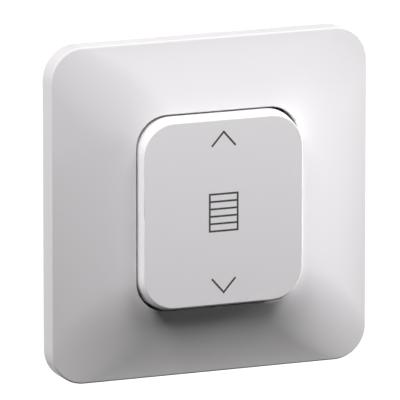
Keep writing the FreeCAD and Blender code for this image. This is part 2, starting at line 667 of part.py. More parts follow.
def make_cover_plate():
    """Hollow plate, closed at the front but for the opening of the key."""
    body = make_body("cover_plate_body")
    rim = sketch(body, "plate_rim", "XZ_Plane")
    rounded(rim, "plate_side", "plate_side", "plate_corner")
    front_pad(body, "plate_rim_pad", rim, "rim_depth")
    loft(body, "AdditiveLoft", "plate_flanks", flank_sections(body, "plate_flank", "0"))
    hollow = sketch(body, "plate_hollow", "XZ_Plane")
    rounded(hollow, "cavity_side", "cavity_side", "cavity_corner")
    front_pocket(body, "plate_hollow_pocket", hollow, "rim_depth - plate_wall")
    loft(body, "SubtractiveLoft", "plate_inside", flank_sections(body, "plate_inner", "plate_wall"))

    collar = sketch(body, "plate_collar", "XZ_Plane", "collar_front")
    rounded(
        collar,
        "opening_width + 2 * collar_wall",
        "opening_height + 2 * collar_wall",
        "opening_corner + collar_wall",
    )
    front_pad(body, "plate_collar_pad", collar, "opening_front - plate_wall / 2 - collar_front")
    plate_ribs(body, "XY_Plane", "opening_width")
    plate_ribs(body, "YZ_Plane", "opening_height")
    opening = sketch(body, "plate_opening", "XZ_Plane")
    rounded(opening, "opening_width", "opening_height", "opening_corner")
    opened = feature(body, "Pocket", "plate_opening_pocket", opening, through=True)
    lip = -value("opening_front")
    round_edges(body, "plate_opening_rounding", opened, "opening_edge", lambda edge: lies_at(edge, lip))

    arms = sketch(body, "plate_snap_arms", "XZ_Plane", "snap_end")
    catch_rear = "tab_hole_front - tab_hole_depth + catch_gap"
    catches = sketch(body, "plate_catches", "XZ_Plane", catch_rear)
    catch_x = ("tab_reach + catch_gap", "snap_inner + snap_wall / 2")
    for side, end in CORNERS:
        arm_z = signed(end, *around("tab_centre", "(tab_width - 2 * snap_inset)"))
        rectangle(arms, signed(side, "snap_inner", "snap_outer"), arm_z)
        catch_z = signed(end, *around("tab_centre", "(tab_hole_width - 2 * catch_gap)"))
        rectangle(catches, signed(side, *catch_x), catch_z)
    front_pad(body, "plate_snap_arm_pad", arms, "snap_root - snap_end")
    last = front_pad(body, "plate_catch_pad", catches, "tab_hole_depth - 2 * catch_gap")

    rim_rear = -value("rim_depth")
    outside = value("plate_side / 2") - NEAR
    reach = value("plate_side / 2 - plate_corner")

    def is_rim_edge(edge):
        spot = edge.CenterOfMass
        far = max(abs(spot.x), abs(spot.z)) > outside or min(abs(spot.x), abs(spot.z)) > reach
        return lies_at(edge, rim_rear) and far

    round_edges(body, "plate_rim_rounding", last, "rim_edge", is_rim_edge)
    keep("cover_plate", body)


# Rocker key: hollow cap with upright sides, sloping top and bottom walls that keep the
# gap open when it tilts, ribs that bear on the rocker and four clips that hold it there
def make_rocker_key():
    """Key with its skirt, ribs and clips."""
    body = make_body("rocker_key_body")
    skirt = sketch(body, "key_skirt_outline", "XZ_Plane", "key_skirt_front")
    rounded(skirt, "key_base_width", "key_base_height", "key_base_corner")
    front_pad(body, "key_skirt_pad", skirt, "opening_front - key_skirt_front")
    foot = sketch(body, "key_foot", "XZ_Plane", "opening_front")
    rounded(foot, "key_base_width", "key_base_height", "key_base_corner")
    face = sketch(body, "key_face", "XZ_Plane", "key_front")
    rounded(face, "key_face_width", "key_face_height", "key_face_corner")
    cap = loft(body, "AdditiveLoft", "key_cap", [foot, face])
    front = value("key_front")
    round_edges(body, "key_rounding", cap, "key_edge", lambda edge: lies_at(edge, -front))
    doc.recompute()
    hollow = sketch(body, "key_hollow", "XZ_Plane", "key_skirt_front")
    rounded(
        hollow,
        "key_base_width - 2 * key_wall",
        "key_base_height - 2 * key_wall",
        "key_base_corner - key_wall",
    )
    front_pocket(body, "key_hollow_pocket", hollow, "key_inner_front - key_skirt_front")
    ribs = sketch(body, "key_ribs", "XZ_Plane", "rocker_front")
    for side in BOTH:
        rib_x = around("rocker_width / 4", "key_rib")
        rectangle(ribs, signed(side, *rib_x), around("0", "(rocker_height - key_rib)"))
    front_pad(body, "key_rib_pad", ribs, "key_rib_height + key_wall / 2")
    legs = sketch(body, "key_clip_legs", "XZ_Plane", "clip_end_front")
    nibs = sketch(body, "key_clip_nibs", "XZ_Plane", "clip_end_front")
    for side, end in CORNERS:
        leg_x = signed(side, *around("clip_x", "clip_width"))
        rectangle(legs, leg_x, signed(end, "clip_z", "clip_z + clip_wall"))
        nib_z = signed(end, "clip_z + clip_wall / 2", "clip_z + clip_wall + clip_catch")
        rectangle(nibs, leg_x, nib_z)
    front_pad(body, "key_clip_leg_pad", legs, "key_inner_front - clip_end_front + key_wall / 2")
    front_pad(body, "key_clip_nib_pad", nibs, "clip_tip - fit_gap")
    keep("rocker_key", body)


# Rocker: plate with trunnions, plunger tube, stop feet and the slots of the key's clips
def make_rocker_carrier():
    """The tilting carrier of the key."""
    body = make_body("rocker_carrier_body")
    plate = sketch(body, "rocker_plate_outline", "XZ_Plane", "rocker_rear_front")
    rounded(plate, "rocker_width", "rocker_height", "rocker_corner")
    front_pad(body, "rocker_plate_pad", plate, "rocker_plate")
    tube = sketch(body, "rocker_tube", "XZ_Plane", "rocker_front")
    circle(tube, "tube_radius", ("0", "0"))
    feature(body, "Pad", "rocker_tube_pad", tube, "rocker_front + tube_rear", back=True)
    cheeks = sketch(body, "rocker_cheeks", "XZ_Plane", "rocker_front")
    for side in BOTH:
        cheek_x = signed(side, "rocker_width / 2 - cheek_wall", "rocker_width / 2")
        rectangle(cheeks, cheek_x, around("0", "cheek_height"))
    cheek_depth = "pivot_drop + trunnion_radius + stop_gap + screw_room * 2"
    feature(body, "Pad", "rocker_cheek_pad", cheeks, cheek_depth, back=True)
    ribs = sketch(body, "rocker_ribs", "XZ_Plane", "rocker_rear_front")
    rib_x = around("0", "(rocker_width - cheek_wall)")
    rectangle(ribs, rib_x, around("0", "rocker_rib"))
    for end in BOTH:
        rib_z = signed(end, "clip_z - rocker_rib_drop - rocker_rib", "clip_z - rocker_rib_drop")
        rectangle(ribs, rib_x, rib_z)
    feature(body, "Pad", "rocker_rib_pad", ribs, "rocker_rib_height", back=True)
    feet = sketch(body, "rocker_feet", "XZ_Plane", "rocker_rear_front")
    for side, end in CORNERS:
        foot_z = signed(end, "rocker_height / 2 - foot_wall", "rocker_height / 2")
        rectangle(feet, signed(side, "foot_outer - foot_width", "foot_outer"), foot_z)
    feature(body, "Pad", "rocker_foot_pad", feet, "rocker_rear_front - foot_front", back=True)
    for side in BOTH:
        root = f"{side}(rocker_width / 2 - cheek_wall / 2)"
        axle = sketch(body, f"rocker_axle_{len(body.Group)}", "YZ_Plane", root)
        circle(axle, "trunnion_radius", ("-pivot_front", "0"))
        length = "trunnion_end - rocker_width / 2 + cheek_wall / 2"
        feature(body, "Pad", f"{axle.Name}_pad", axle, length, back=side == "-")
    bore = sketch(body, "rocker_bore", "XZ_Plane", "-tube_rear")
    circle(bore, "bore_radius", ("0", "0"))
    front_pocket(body, "rocker_bore_pocket", bore, "bore_front + tube_rear")
    slots = sketch(body, "rocker_clip_slots", "XZ_Plane", "rocker_front")
    for side, end in CORNERS:
        slot_x = signed(side, *around("clip_x", "(clip_width + 2 * clip_room)"))
        slot_z = signed(end, "clip_z - clip_room", "clip_z + clip_wall + clip_room")
        rectangle(slots, slot_x, slot_z)
    feature(body, "Pocket", "rocker_clip_slot_pocket", slots, "rocker_plate + fit_gap")
    keep("rocker_carrier", body)


# Plunger and its spring, inside the rocker's tube
def make_plunger():
    """Plunger with a rounded nose."""
    middle = ("0", "0")
    stem_span = ("-plunger_head", "plunger_tip - plunger_neck")
    stem = rod("plunger_stem", "y", stem_span, "plunger_radius", middle)
    neck_span = ("0", "plunger_tip - plunger_nose")
    neck = rod("plunger_neck_rod", "y", neck_span, "plunger_nose", middle)
    nose = ball("plunger_nose_ball", "plunger_nose", ("0", neck_span[1], "0"))
    keep("plunger", fuse("plunger_solid", stem, neck, nose))


def make_plunger_spring():
    """Compression spring of half rings, tilted to and fro so that each runs into the next."""
    lean = math.degrees(math.atan2(value("coil_rise / 2"), value("coil_radius")))
    halves = []
    for number in range(round(value("2 * spring_turns"))):
        half = doc.addObject("Part::Torus", f"spring_half_{number}")
        half.setExpression("Radius1", bound("sqrt(coil_radius ^ 2 + coil_rise ^ 2 / 4)"))
        half.setExpression("Radius2", bound("spring_wire"))
        half.Angle3 = 180
        odd = number % 2
        tilt = Rotation(Vector(0, 1, 0), -lean if odd else lean)
        turn = TURN["y"].multiply(tilt).multiply(Rotation(Vector(0, 0, 1), 180 * odd))
        half.Placement = Placement(Vector(), turn)
        start = "-plunger_head - fit_gap - spring_wire"
        set_place(half, ("0", f"{start} - coil_length + ({number} + 1 / 2) * coil_rise", "0"))
        halves.append(half)
    keep("plunger_spring", fuse("plunger_spring_solid", *halves))


# Mechanism cover: flange on the frame, locating ring through its window, two ears
def make_mechanism_cover():
    """Front cover of the housing with the bearings of the rocker."""
    body = make_body("mechanism_cover_body")
    flange = sketch(body, "cover_flange", "XZ_Plane", "frame_sheet")
    rounded(flange, "flange_width", "flange_height", "flange_corner")
    front_pad(body, "cover_flange_pad", flange, "flange_thickness")
    ring = sketch(body, "cover_ring", "XZ_Plane", "frame_sheet")
    rounded(ring, "ring_width", "ring_height", "frame_window_corner")
    feature(body, "Pad", "cover_ring_pad", ring, "frame_sheet + collar_depth", back=True)
    window = sketch(body, "cover_window", "XZ_Plane", "-collar_depth")
    rounded(
        window,
        "ring_width - 2 * ring_wall",
        "ring_height - 2 * ring_wall",
        "frame_window_corner - ring_wall",
    )
    front_pocket(body, "cover_window_pocket", window, "frame_sheet + collar_depth")
    passage = sketch(body, "cover_passage", "XZ_Plane")
    rounded(
        passage,
        "2 * (tube_radius + tube_room)",
        "2 * (tube_radius + tube_swing + tube_room)",
        "passage_corner",
    )
    feature(body, "Pocket", "cover_passage_pocket", passage, through=True)
    doc.recompute()
    for side in BOTH:
        inner = f"{side}ear_inside"
        ear = sketch(body, f"cover_ear_{len(body.Group)}", "YZ_Plane", inner)
        rectangle(ear, ("-pivot_front", "-flange_front + overlap"), ("-ear_radius", "ear_radius"))
        feature(body, "Pad", f"{ear.Name}_pad", ear, "ear_wall", back=side == "-")
        crown = sketch(body, f"cover_crown_{len(body.Group)}", "YZ_Plane", inner)
        circle(crown, "ear_radius", ("-pivot_front", "0"))
        feature(body, "Pad", f"{crown.Name}_pad", crown, "ear_wall", back=side == "-")
    bearings = sketch(body, "cover_bearings", "YZ_Plane")
    circle(bearings, "bearing_radius", ("-pivot_front", "0"))
    feature(body, "Pocket", "cover_bearing_pocket", bearings, through=True)
    sinks = sketch(body, "cover_sinks", "XZ_Plane", "flange_front")
    holes = sketch(body, "cover_screw_holes", "XZ_Plane", "flange_front")
    for side, end in CORNERS:
        spot = (f"{side}assembly_x", f"{end}assembly_z")
        circle(sinks, "assembly_head + screw_room", spot)
        circle(holes, "assembly_hole", spot)
    feature(body, "Pocket", "cover_sink_pocket", sinks, "assembly_sink")
    feature(body, "Pocket", "cover_screw_hole_pocket", holes, "flange_thickness + fit_gap")
    keep("mechanism_cover", body)


# Support frame: flat steel sheet on the wall, with bent tabs for the plate, pressed
# beads, slots for the box screws and holes at its corners
def frame_beads(drawing, width, shorten):
    """The eight beads, each as a slot of one width. shorten is taken off at each end."""
    first = "box_slot_width / 2 + bead_start"
    inset = "frame_side / 2 - bead_inset"
    for side, end in CORNERS:
        long_middle = f"{side}({first} + bead_long / 2)"
        slot(drawing, f"(bead_long - 2 * {shorten})", width, (long_middle, f"{end}({inset})"))
        short_middle = f"{end}({first} + bead_short / 2)"
        slot(drawing, width, f"(bead_short - 2 * {shorten})", (f"{side}({inset})", short_middle))


def make_support_frame():
    """Pressed frame with its window, screw slots, bent tabs and holes."""
    body = make_body("support_frame_body")
    plate = sketch(body, "frame_outline", "XZ_Plane")
    rounded(plate, "frame_side", "frame_side", "frame_corner")
    rounded(plate, "frame_window_width", "frame_window_height", "frame_window_corner")
    front_pad(body, "frame_pad", plate, "frame_sheet")
    tabs = sketch(body, "frame_tabs", "XZ_Plane")
    gaps = sketch(body, "frame_tab_gaps", "XZ_Plane")
    catches = sketch(body, "frame_tab_holes", "YZ_Plane")
    for side, end in CORNERS:
        tab_z = signed(end, *around("tab_centre", "tab_width"))
        rectangle(tabs, signed(side, "tab_reach", "tab_outside"), tab_z)
        gap_x = signed(side, "tab_outside", "tab_outside + tab_front - frame_sheet")
        rectangle(gaps, gap_x, tab_z)
    for end in BOTH:
        hole_z = signed(end, *around("tab_centre", "tab_hole_width"))
        rectangle(catches, ("-tab_hole_front", "-tab_hole_front + tab_hole_depth"), hole_z)
    front_pad(body, "frame_tab_pad", tabs, "tab_front")
    doc.recompute()
    front_pocket(body, "frame_tab_gap_pocket", gaps, "frame_sheet + fit_gap")
    feature(body, "Pocket", "frame_tab_hole_pocket", catches, through=True)
    beads = sketch(body, "frame_beads", "XZ_Plane", "frame_sheet / 2")
    frame_beads(beads, "bead_width", "0")
    front_pad(body, "frame_bead_pad", beads, "frame_sheet / 2 + bead_height")
    hollows = sketch(body, "frame_bead_hollows", "XZ_Plane")
    frame_beads(hollows, "(bead_width - 2 * bead_height)", "bead_height")
    front_pocket(body, "frame_bead_pocket", hollows, "bead_height")
    slots = sketch(body, "frame_slots", "XZ_Plane")
    holes = sketch(body, "frame_holes", "XZ_Plane")
    for sign in BOTH:
        middle = f"{sign}box_pitch / 2"
        slot(slots, "box_slot_length", "box_slot_width", (middle, "0"))
        slot(slots, "box_slot_width", "box_slot_length", ("0", middle))
        circle(holes, "claw_screw_hole", (f"{sign}claw_screw_reach", "0"))
    corner = "(frame_side / 2 - frame_hole_inset)"
    for side, end in CORNERS:
        circle(holes, "assembly_hole", (f"{side}assembly_x", f"{end}assembly_z"))
        circle(holes, "frame_hole_radius", (f"{side}{corner}", f"{end}{corner}"))
    front_pocket(body, "frame_slot_pocket", slots, "frame_sheet + fit_gap")
    front_pocket(body, "frame_hole_pocket", holes, "frame_sheet + fit_gap")
    keep("support_frame", body)


# Housing base: moulding with a front cavity, clamp chambers, wire entries and claw ears.
# Pressing the top of the key tips the seesaw's lower end, so the lower terminal is up
TERMINALS = {
    "up": ("-", "-contact_reach"),
    "down": ("-", "contact_reach"),
    "common": ("", "0"),
}


def make_mechanism_base():
    """Rear moulding of the housing."""
    body = make_body("mechanism_base_body")
    block_outline = sketch(body, "base_outline", "XZ_Plane")
    rounded(block_outline, "base_width", "base_height", "base_corner")
    blank = feature(body, "Pad", "base_pad", block_outline, "base_depth", back=True)
    rear = value("base_depth")
    round_edges(body, "base_rounding", blank, "base_edge", lambda edge: lies_at(edge, rear))
    doc.recompute()
    cavity = sketch(body, "base_cavity", "XZ_Plane")
    rounded(cavity, "base_width - 2 * base_wall", "base_height - 2 * base_wall", "cavity_round")
    feature(body, "Pocket", "base_cavity_pocket", cavity, "ledge")
    bosses = sketch(body, "base_bosses", "XZ_Plane")
    pilots = sketch(body, "base_pilots", "XZ_Plane")
    for side, end in CORNERS:
        spot = (f"{side}assembly_x", f"{end}assembly_z")
        circle(bosses, "boss_radius", spot)
        circle(pilots, "assembly_radius + pivot_play", spot)
    feature(body, "Pad", "base_boss_pad", bosses, "ledge + overlap", back=True)
    doc.recompute()
    feature(body, "Pocket", "base_pilot_pocket", pilots, "assembly_rear + pilot_end")

    chambers = sketch(body, "base_chambers", "XZ_Plane", "-ledge")
    entries = sketch(body, "base_entries", "XZ_Plane", "-base_depth")
    for side, centre in TERMINALS.values():
        chamber_x = signed(side, "chamber_inner", "chamber_outer")
        rectangle(chambers, chamber_x, around(centre, "chamber_height"))
        circle(entries, "wire_radius", (f"{side}wire_reach", centre))
        window_x = signed(side, "button_inner - fit_gap", "button_outer + fit_gap")
        rectangle(entries, window_x, around(centre, "(button_height + 2 * fit_gap)"))
    feature(body, "Pocket", "base_chamber_pocket", chambers, "chamber_end - ledge")
    entered = front_pocket(body, "base_entry_pocket", entries, "base_floor + fit_gap")
    mouth = value("wire_radius")

    def is_mouth(edge):
        box = edge.BoundBox
        return lies_at(edge, rear) and max(abs(box.XLength - 2 * mouth), abs(box.ZLength - 2 * mouth)) < NEAR

    round_edges(body, "base_entry_rounding", entered, "wire_funnel", is_mouth)
    doc.recompute()

    relief = sketch(body, "base_relief", "XZ_Plane", "-base_depth")
    for end in BOTH:
        relief_z = signed(end, "chamber_height / 2 + relief_wall", "base_height / 2 - relief_end")
        rectangle(relief, ("relief_wall", "chamber_outer"), relief_z)
    front_pocket(body, "base_relief_pocket", relief, "base_depth - ledge - relief_wall")

    ears = sketch(body, "base_claw_ears", "XY_Plane")
    pins = sketch(body, "base_claw_pins", "XY_Plane")
    gap = sketch(body, "base_claw_gap", "XY_Plane")
    ear_end = "claw_pin_reach + claw_pin_radius + claw_ear_rim"
    for side in BOTH:
        ear_x = signed(side, "base_width / 2 - overlap", ear_end)
        rectangle(ears, ear_x, around("claw_pin_rear", "claw_ear_depth"))
        circle(pins, "claw_bore", (f"{side}claw_pin_reach", "claw_pin_rear"))
        gap_x = signed(side, "base_width / 2", f"{ear_end} + fit_gap")
        rectangle(gap, gap_x, around("claw_pin_rear", "(claw_ear_depth + 2 * fit_gap)"))
    both_ways(body, "Pad", "base_claw_ear_pad", ears, "2 * claw_ear_outside")
    both_ways(body, "Pocket", "base_claw_gap_pocket", gap, "2 * claw_ear_inside")
    both_ways(body, "Pocket", "base_claw_pin_pocket", pins, "2 * (claw_ear_outside + overlap)")
    keep("mechanism_base", body)


# Contact rivets: a head, a shank through the strip and, on the seesaw, a dome
def make_rivet(label, head, shank, height, radius, dome=None):
    """Silver rivet along Y at one height."""
    spot = ("0", height)
    stem = rod(f"{label}_shank", "y", shank, "shank_radius - pivot_play", spot)
    if dome:
        room = rod(f"{label}_room", "y", (head[0], f"{head[1]} + overlap"), f"{radius} + overlap", spot)
        top = common(f"{label}_dome", room, ball(f"{label}_ball", "dome_sphere", ("0", dome, height)))
    else:
        top = rod(f"{label}_head", "y", head, radius, spot)
    keep(label, fuse(f"{label}_solid", stem, top))


# Seesaw with side tabs that rest in the cradle, and its two domed contacts
def make_seesaw():
    """Tilting contact of brass strip."""
    body = make_body("contact_seesaw_body")
    drawing = sketch(body, "seesaw_outline", "XZ_Plane", "-seesaw_back")
    side = "seesaw_width / 2"
    tip = "(cradle_outside + seesaw_tab)"
    top = "(contact_reach + seesaw_end)"
    outline(drawing, [
        (f"-{side}", f"-{top}"), (side, f"-{top}"), (side, "-strip_sheet"), (tip, "-strip_sheet"),
        (tip, "strip_sheet"), (side, "strip_sheet"), (side, top), (f"-{side}", top),
        (f"-{side}", "strip_sheet"), (f"-{tip}", "strip_sheet"),
        (f"-{tip}", "-strip_sheet"), (f"-{side}", "-strip_sheet"),
    ])
    plate = front_pad(body, "seesaw_pad", drawing, "strip_sheet")
    end = value(top) - NEAR

    def is_end_corner(edge):
        box = edge.BoundBox
        return box.YLength > NEAR and min(abs(box.ZMin), abs(box.ZMax)) > end

    round_edges(body, "seesaw_rounding", plate, "seesaw_width / 4", is_end_corner)
    doc.recompute()
    holes = sketch(body, "seesaw_holes", "XZ_Plane", "-seesaw_back")
    for sign in BOTH:
        circle(holes, "shank_radius", ("0", f"{sign}contact_reach"))
    front_pocket(body, "seesaw_hole_pocket", holes, "strip_sheet + fit_gap")
    keep("contact_seesaw", body)
    for name in ("up", "down"):
        height = TERMINALS[name][1]
        head = ("seesaw_back", "seesaw_back + dome_height")
        shank = ("seesaw_face", "seesaw_back + dome_height / 2")
        make_rivet(f"seesaw_contact_{name}", head, shank, height, "dome_radius", "dome_centre")


# Terminals: a strip on the ledge of the base with a leg folded into its clamp chamber.
# The common one also carries the cradle, two notched uprights
def make_terminal(name, side, centre, inner_end):
    """Folded brass strip, with round bends."""
    body = make_body(f"{name}_terminal_body")
    profile = sketch(body, f"{name}_terminal_profile", "XY_Plane", centre)
    inner_face = "leg_outer - strip_sheet"
    corners = [
        (inner_end, "strip_face"), ("leg_outer", "strip_face"), ("leg_outer", "leg_end"),
        (inner_face, "leg_end"), (inner_face, "ledge"), (inner_end, "ledge"),
    ]
    outline(profile, [(f"{side}({across})", rear) for across, rear in corners])
    last = both_ways(body, "Pad", f"{name}_terminal_pad", profile, "terminal_width")
    for across, rear, radius in (
        ("leg_outer", "strip_face", "strip_bend + strip_sheet"),
        (inner_face, "ledge", "strip_bend"),
    ):
        place = (value(f"{side}({across})"), value(rear))
        last = round_edges(
            body, f"{name}_bend_{len(body.Group)}", last, radius,
            lambda edge, place=place: stands_at(edge, *place),
        )
    doc.recompute()
    return body


def make_cradle(body):
    """The two uprights that the seesaw's tabs lie in."""
    front = "seesaw_rear - strip_sheet"
    seat = "seesaw_back + cradle_seat"
    wall = "cradle_height / 2"
    notch = "cradle_notch / 2"
    for side in BOTH:
        upright = sketch(body, f"cradle_upright_{len(body.Group)}", "YZ_Plane", f"{side}cradle_inside")
        outline(upright, [
            ("strip_face + strip_sheet / 2", f"-{wall}"), (front, f"-{wall}"), (front, f"-{notch}"),
            (seat, f"-{notch}"), (seat, notch), (front, notch), (front, wall),
            ("strip_face + strip_sheet / 2", wall),
        ])
        feature(body, "Pad", f"{upright.Name}_pad", upright, "strip_sheet", back=side == "-")


def make_terminals():
    """Three brass terminals and the two fixed contacts."""
    for name, (side, centre) in TERMINALS.items():
        if name == "common":
            body = make_terminal(name, side, centre, "-cradle_outside")
            make_cradle(body)
        else:
            body = make_terminal(name, side, centre, "-(contact_radius + contact_rim)")
            hole = sketch(body, f"{name}_terminal_hole", "XZ_Plane", "-ledge")
            circle(hole, "shank_radius", ("0", centre))
            front_pocket(body, f"{name}_terminal_hole_pocket", hole, "strip_sheet + fit_gap")
            head = ("contact_face", "strip_face")
            shank = ("strip_face - fit_gap", "ledge")
            make_rivet(f"fixed_contact_{name}", head, shank, centre, "contact_radius")
        keep(f"{name}_terminal", body)


# Clamp springs: bent steel strips, drawn from the middle line of the strip
def bent_strip(points, thickness, width, radius):
    """Solid strip along an open middle line in the XY plane, with round bends."""
    steps = [(after - before).normalize() for before, after in zip(points, points[1:])]
    left = []
    right = []
    for spot, before, after in zip(points, steps[:1] + steps, steps + steps[-1:]):
        across = Vector(-before.y - after.y, before.x + after.x, 0)
        across = across * (thickness / (across.Length ** 2))
        left.append(spot + across)
        right.append(spot - across)
    rim = left + right[::-1]
    solid = Part.Face(Part.makePolygon(rim + rim[:1])).extrude(Vector(0, 0, width))
    for number in range(1, len(points) - 1):
        turns_left = steps[number - 1].cross(steps[number]).z > 0
        for spot, inside in ((left[number], turns_left), (right[number], not turns_left)):
            edge = next(edge for edge in solid.Edges if stands_at(edge, spot.x, spot.y))
            solid = solid.makeFillet(radius if inside else radius + thickness, [edge])
    return solid


def make_clamp_springs():
    """One spring for each chamber, with its slanted leg across the wire's way."""
    sheet = value("clamp_sheet")
    width = value("clamp_width")
    inner = value("chamber_inner + fit_gap + clamp_sheet / 2")
    leg_face = value("leg_outer - strip_sheet - clamp_sheet")
    bend = value("chamber_end - button_stroke - clamp_rest")
    back = inner + value("clamp_back")
    profile = [
        (inner, value("ledge + clamp_start")), (inner, bend), (back, bend),
        (leg_face, value("ledge + clamp_tip")),
    ]
    for name, (side, centre) in TERMINALS.items():
        mirror = -1 if side else 1
        low = value(centre) - width / 2
        points = [Vector(mirror * across, rear, low) for across, rear in profile]
        spring = doc.addObject("Part::Feature", f"{name}_clamp_spring_solid")
        spring.Shape = bent_strip(points, sheet, width, value("clamp_bend"))
        keep(f"{name}_clamp_spring", spring)


# Release buttons: a stem through the rear wall, a stop flange and a nose on the spring
def make_release_buttons():
    """Three buttons that push the clamp springs off the wires."""
    flange_start = "chamber_end - button_flange"
    for name, (side, centre) in TERMINALS.items():
        stem_z = around(centre, "button_height")
        stem_x = signed(side, "button_inner", "button_outer")
        stem = block(f"{name}_button_stem", stem_x, (flange_start, "button_end"), stem_z)
        flange_x = signed(side, "button_inner - button_lip", "button_outer + button_lip")
        flange_y = (flange_start, "chamber_end - fit_gap / 2")
        flange = block(f"{name}_button_flange", flange_x, flange_y, stem_z)
        nose_x = signed(side, "button_outer - fit_gap - button_nose_width", "button_outer - fit_gap")
        nose_y = ("chamber_end - button_nose", "chamber_end - button_flange / 2")
        nose = block(f"{name}_button_nose", nose_x, nose_y, around(centre, "clamp_width / 2"))
        slit_x = signed(side, *around("(button_inner + button_width / 2)", "slit_width"))
        slit_y = ("button_end - slit_depth", "button_end + overlap")
        slit = block(f"{name}_button_slit", slit_x, slit_y, around(centre, "slit_length"))
        whole = fuse(f"{name}_button", stem, flange, nose)
        keep(f"{name}_release", cut(f"{name}_release_solid", whole, slit))


# Claws: bell cranks of bent steel on pins beside the base. The lug follows the screw
# forward, and the toothed end swings out against the wall box
def make_claw(name, side):
    """One claw, with its barrel, lug, slots and teeth."""
    body = make_body(f"{name}_claw_body")
    pin = (f"{side}claw_pin_reach", "claw_pin_rear")
    half = "claw_sheet / 2"

    def across(text):
        return f"{side}(claw_pin_reach + {text})"

    barrel = sketch(body, f"{name}_claw_barrel", "XY_Plane")
    circle(barrel, "claw_barrel", pin)
    both_ways(body, "Pad", f"{name}_claw_barrel_pad", barrel, "claw_width")
    arm = sketch(body, f"{name}_claw_arm", "XY_Plane")
    outline(arm, [
        (across(f"(-{half})"), "claw_pin_rear"), (across(half), "claw_pin_rear"),
        (across(half), "claw_knee_rear"), (across("claw_flare"), "claw_end - claw_edge"),
        (across("claw_flare"), "claw_end"), (across(f"(-{half})"), "claw_knee_rear + claw_edge / 2"),
    ])
    both_ways(body, "Pad", f"{name}_claw_arm_pad", arm, "claw_width")
    lug = sketch(body, f"{name}_claw_lug", "XY_Plane")
    lug_x = signed(side, "claw_pin_reach", "claw_screw_reach + claw_lug_end")
    rectangle(lug, lug_x, around("claw_pin_rear", "claw_sheet"))
    both_ways(body, "Pad", f"{name}_claw_lug_pad", lug, "claw_width")
    doc.recompute()
    bore = sketch(body, f"{name}_claw_bore", "XY_Plane")
    circle(bore, "claw_bore", pin)
    both_ways(body, "Pocket", f"{name}_claw_bore_pocket", bore, "claw_width + overlap")
    screw_slot = sketch(body, f"{name}_claw_slot", "XZ_Plane", "-(claw_pin_rear - claw_sheet)")
    slot_start = "claw_pin_reach + claw_barrel + claw_slot_gap"
    slot_x = signed(side, slot_start, "claw_screw_reach + claw_lug_end - claw_lug_wall")
    rectangle(screw_slot, slot_x, ("-claw_slot_half", "claw_slot_half"))
    feature(body, "Pocket", f"{name}_claw_slot_pocket", screw_slot, "2 * claw_sheet")
    window = sketch(body, f"{name}_claw_window", "YZ_Plane")
    window_y = ("claw_pin_rear + claw_barrel + claw_slot_gap", "claw_knee_rear - claw_edge / 2")
    rectangle(window, window_y, ("-claw_slot_half", "claw_slot_half"))
    feature(body, "Pocket", f"{name}_claw_window_pocket", window, through=True)
    teeth = sketch(body, f"{name}_claw_teeth", "YZ_Plane")
    for step in (-1, 0, 1):
        middle = f"{step} * tooth_pitch"
        low, high = around(middle, "tooth_notch")
        outline(teeth, [("claw_end - tooth_depth", middle), ("claw_end + fit_gap", low),
                        ("claw_end + fit_gap", high)])
    feature(body, "Pocket", f"{name}_claw_teeth_pocket", teeth, through=True)
    keep(f"{name}_claw", body)


def make_claw_pin(name, side):
    """Headed pin through the two ears of the base and the barrel of the claw."""
    pin = (f"{side}claw_pin_reach", "claw_pin_rear")
    shaft_z = ("-claw_ear_outside", "claw_ear_outside + claw_pin_end")
    shaft = rod(f"{name}_pin_shaft", "z", shaft_z, "claw_pin_radius", pin)
    head_z = ("-claw_ear_outside - claw_pin_head_height", "-claw_ear_outside")
    head = rod(f"{name}_pin_head", "z", head_z, "claw_pin_radius + claw_pin_head", pin)
    keep(f"{name}_claw_pin", fuse(f"{name}_pin", shaft, head))


# Screws: a shaft along Y under a rounded, cross-slotted head
SLOT_REACH = 0.65
SLOT_DEPTH = 0.6
HEAD_ROUNDING = 0.45


def screw(name, spot, seat, rear, radius, head_radius, head_height):
    """The solid of one screw, whose head sits on a seat in front of the wall."""
    front = f"-({seat}) - {head_height}"
    shaft = rod(f"{name}_shaft", "y", (f"-({seat})", rear), radius, spot)
    head = rod(f"{name}_head", "y", (front, f"-({seat})"), head_radius, spot)
    arm_x = around(spot[0], f"(2 * {SLOT_REACH} * {head_radius})")
    arm_z = around(spot[1], f"(2 * {SLOT_REACH} * {head_radius})")
    depth = (f"{front} - fit_gap", f"{front} + {SLOT_DEPTH} * {head_height}")
    level = block(f"{name}_slot_level", arm_x, depth, around(spot[1], "cross_slot"))
    upright = block(f"{name}_slot_upright", around(spot[0], "cross_slot"), depth, arm_z)
    doc.recompute()
    rear_of_rim = value(front)
    edges = enumerate(head.Shape.Edges, start=1)
    size = value(head_height) * HEAD_ROUNDING
    rounding = doc.addObject("Part::Fillet", f"{name}_rounding")
    rounding.Base = head
    rounding.Edges = [(number, size, size) for number, edge in edges if lies_at(edge, rear_of_rim)]
    return cut(f"{name}_solid", fuse(f"{name}_blank", shaft, rounding), level, upright)


def make_claws():
    """Two claws, their pins and their screws."""
    for name, side in (("left", "-"), ("right", "")):
        make_claw(name, side)
        make_claw_pin(name, side)
        spot = (f"{side}claw_screw_reach", "0")
        solid = screw(f"{name}_claw_screw_solid", spot, "frame_sheet", "claw_screw_rear",
                      "claw_screw_radius", "claw_screw_head", "claw_screw_head_height")
        keep(f"{name}_claw_screw", solid)


def make_assembly_screws():
    """Four equal screws, kept together as one node."""
    screws = []
    for side, end in CORNERS:
        spot = (f"{side}assembly_x", f"{end}assembly_z")
        screws.append(screw(f"assembly_screw_{len(screws)}", spot, "flange_front - assembly_sink",
                            "assembly_rear", "assembly_radius", "assembly_head", "assembly_head_height"))
    group = doc.addObject("Part::Compound", "assembly_screw_group")
    group.Links = screws
    keep("assembly_screws", group)


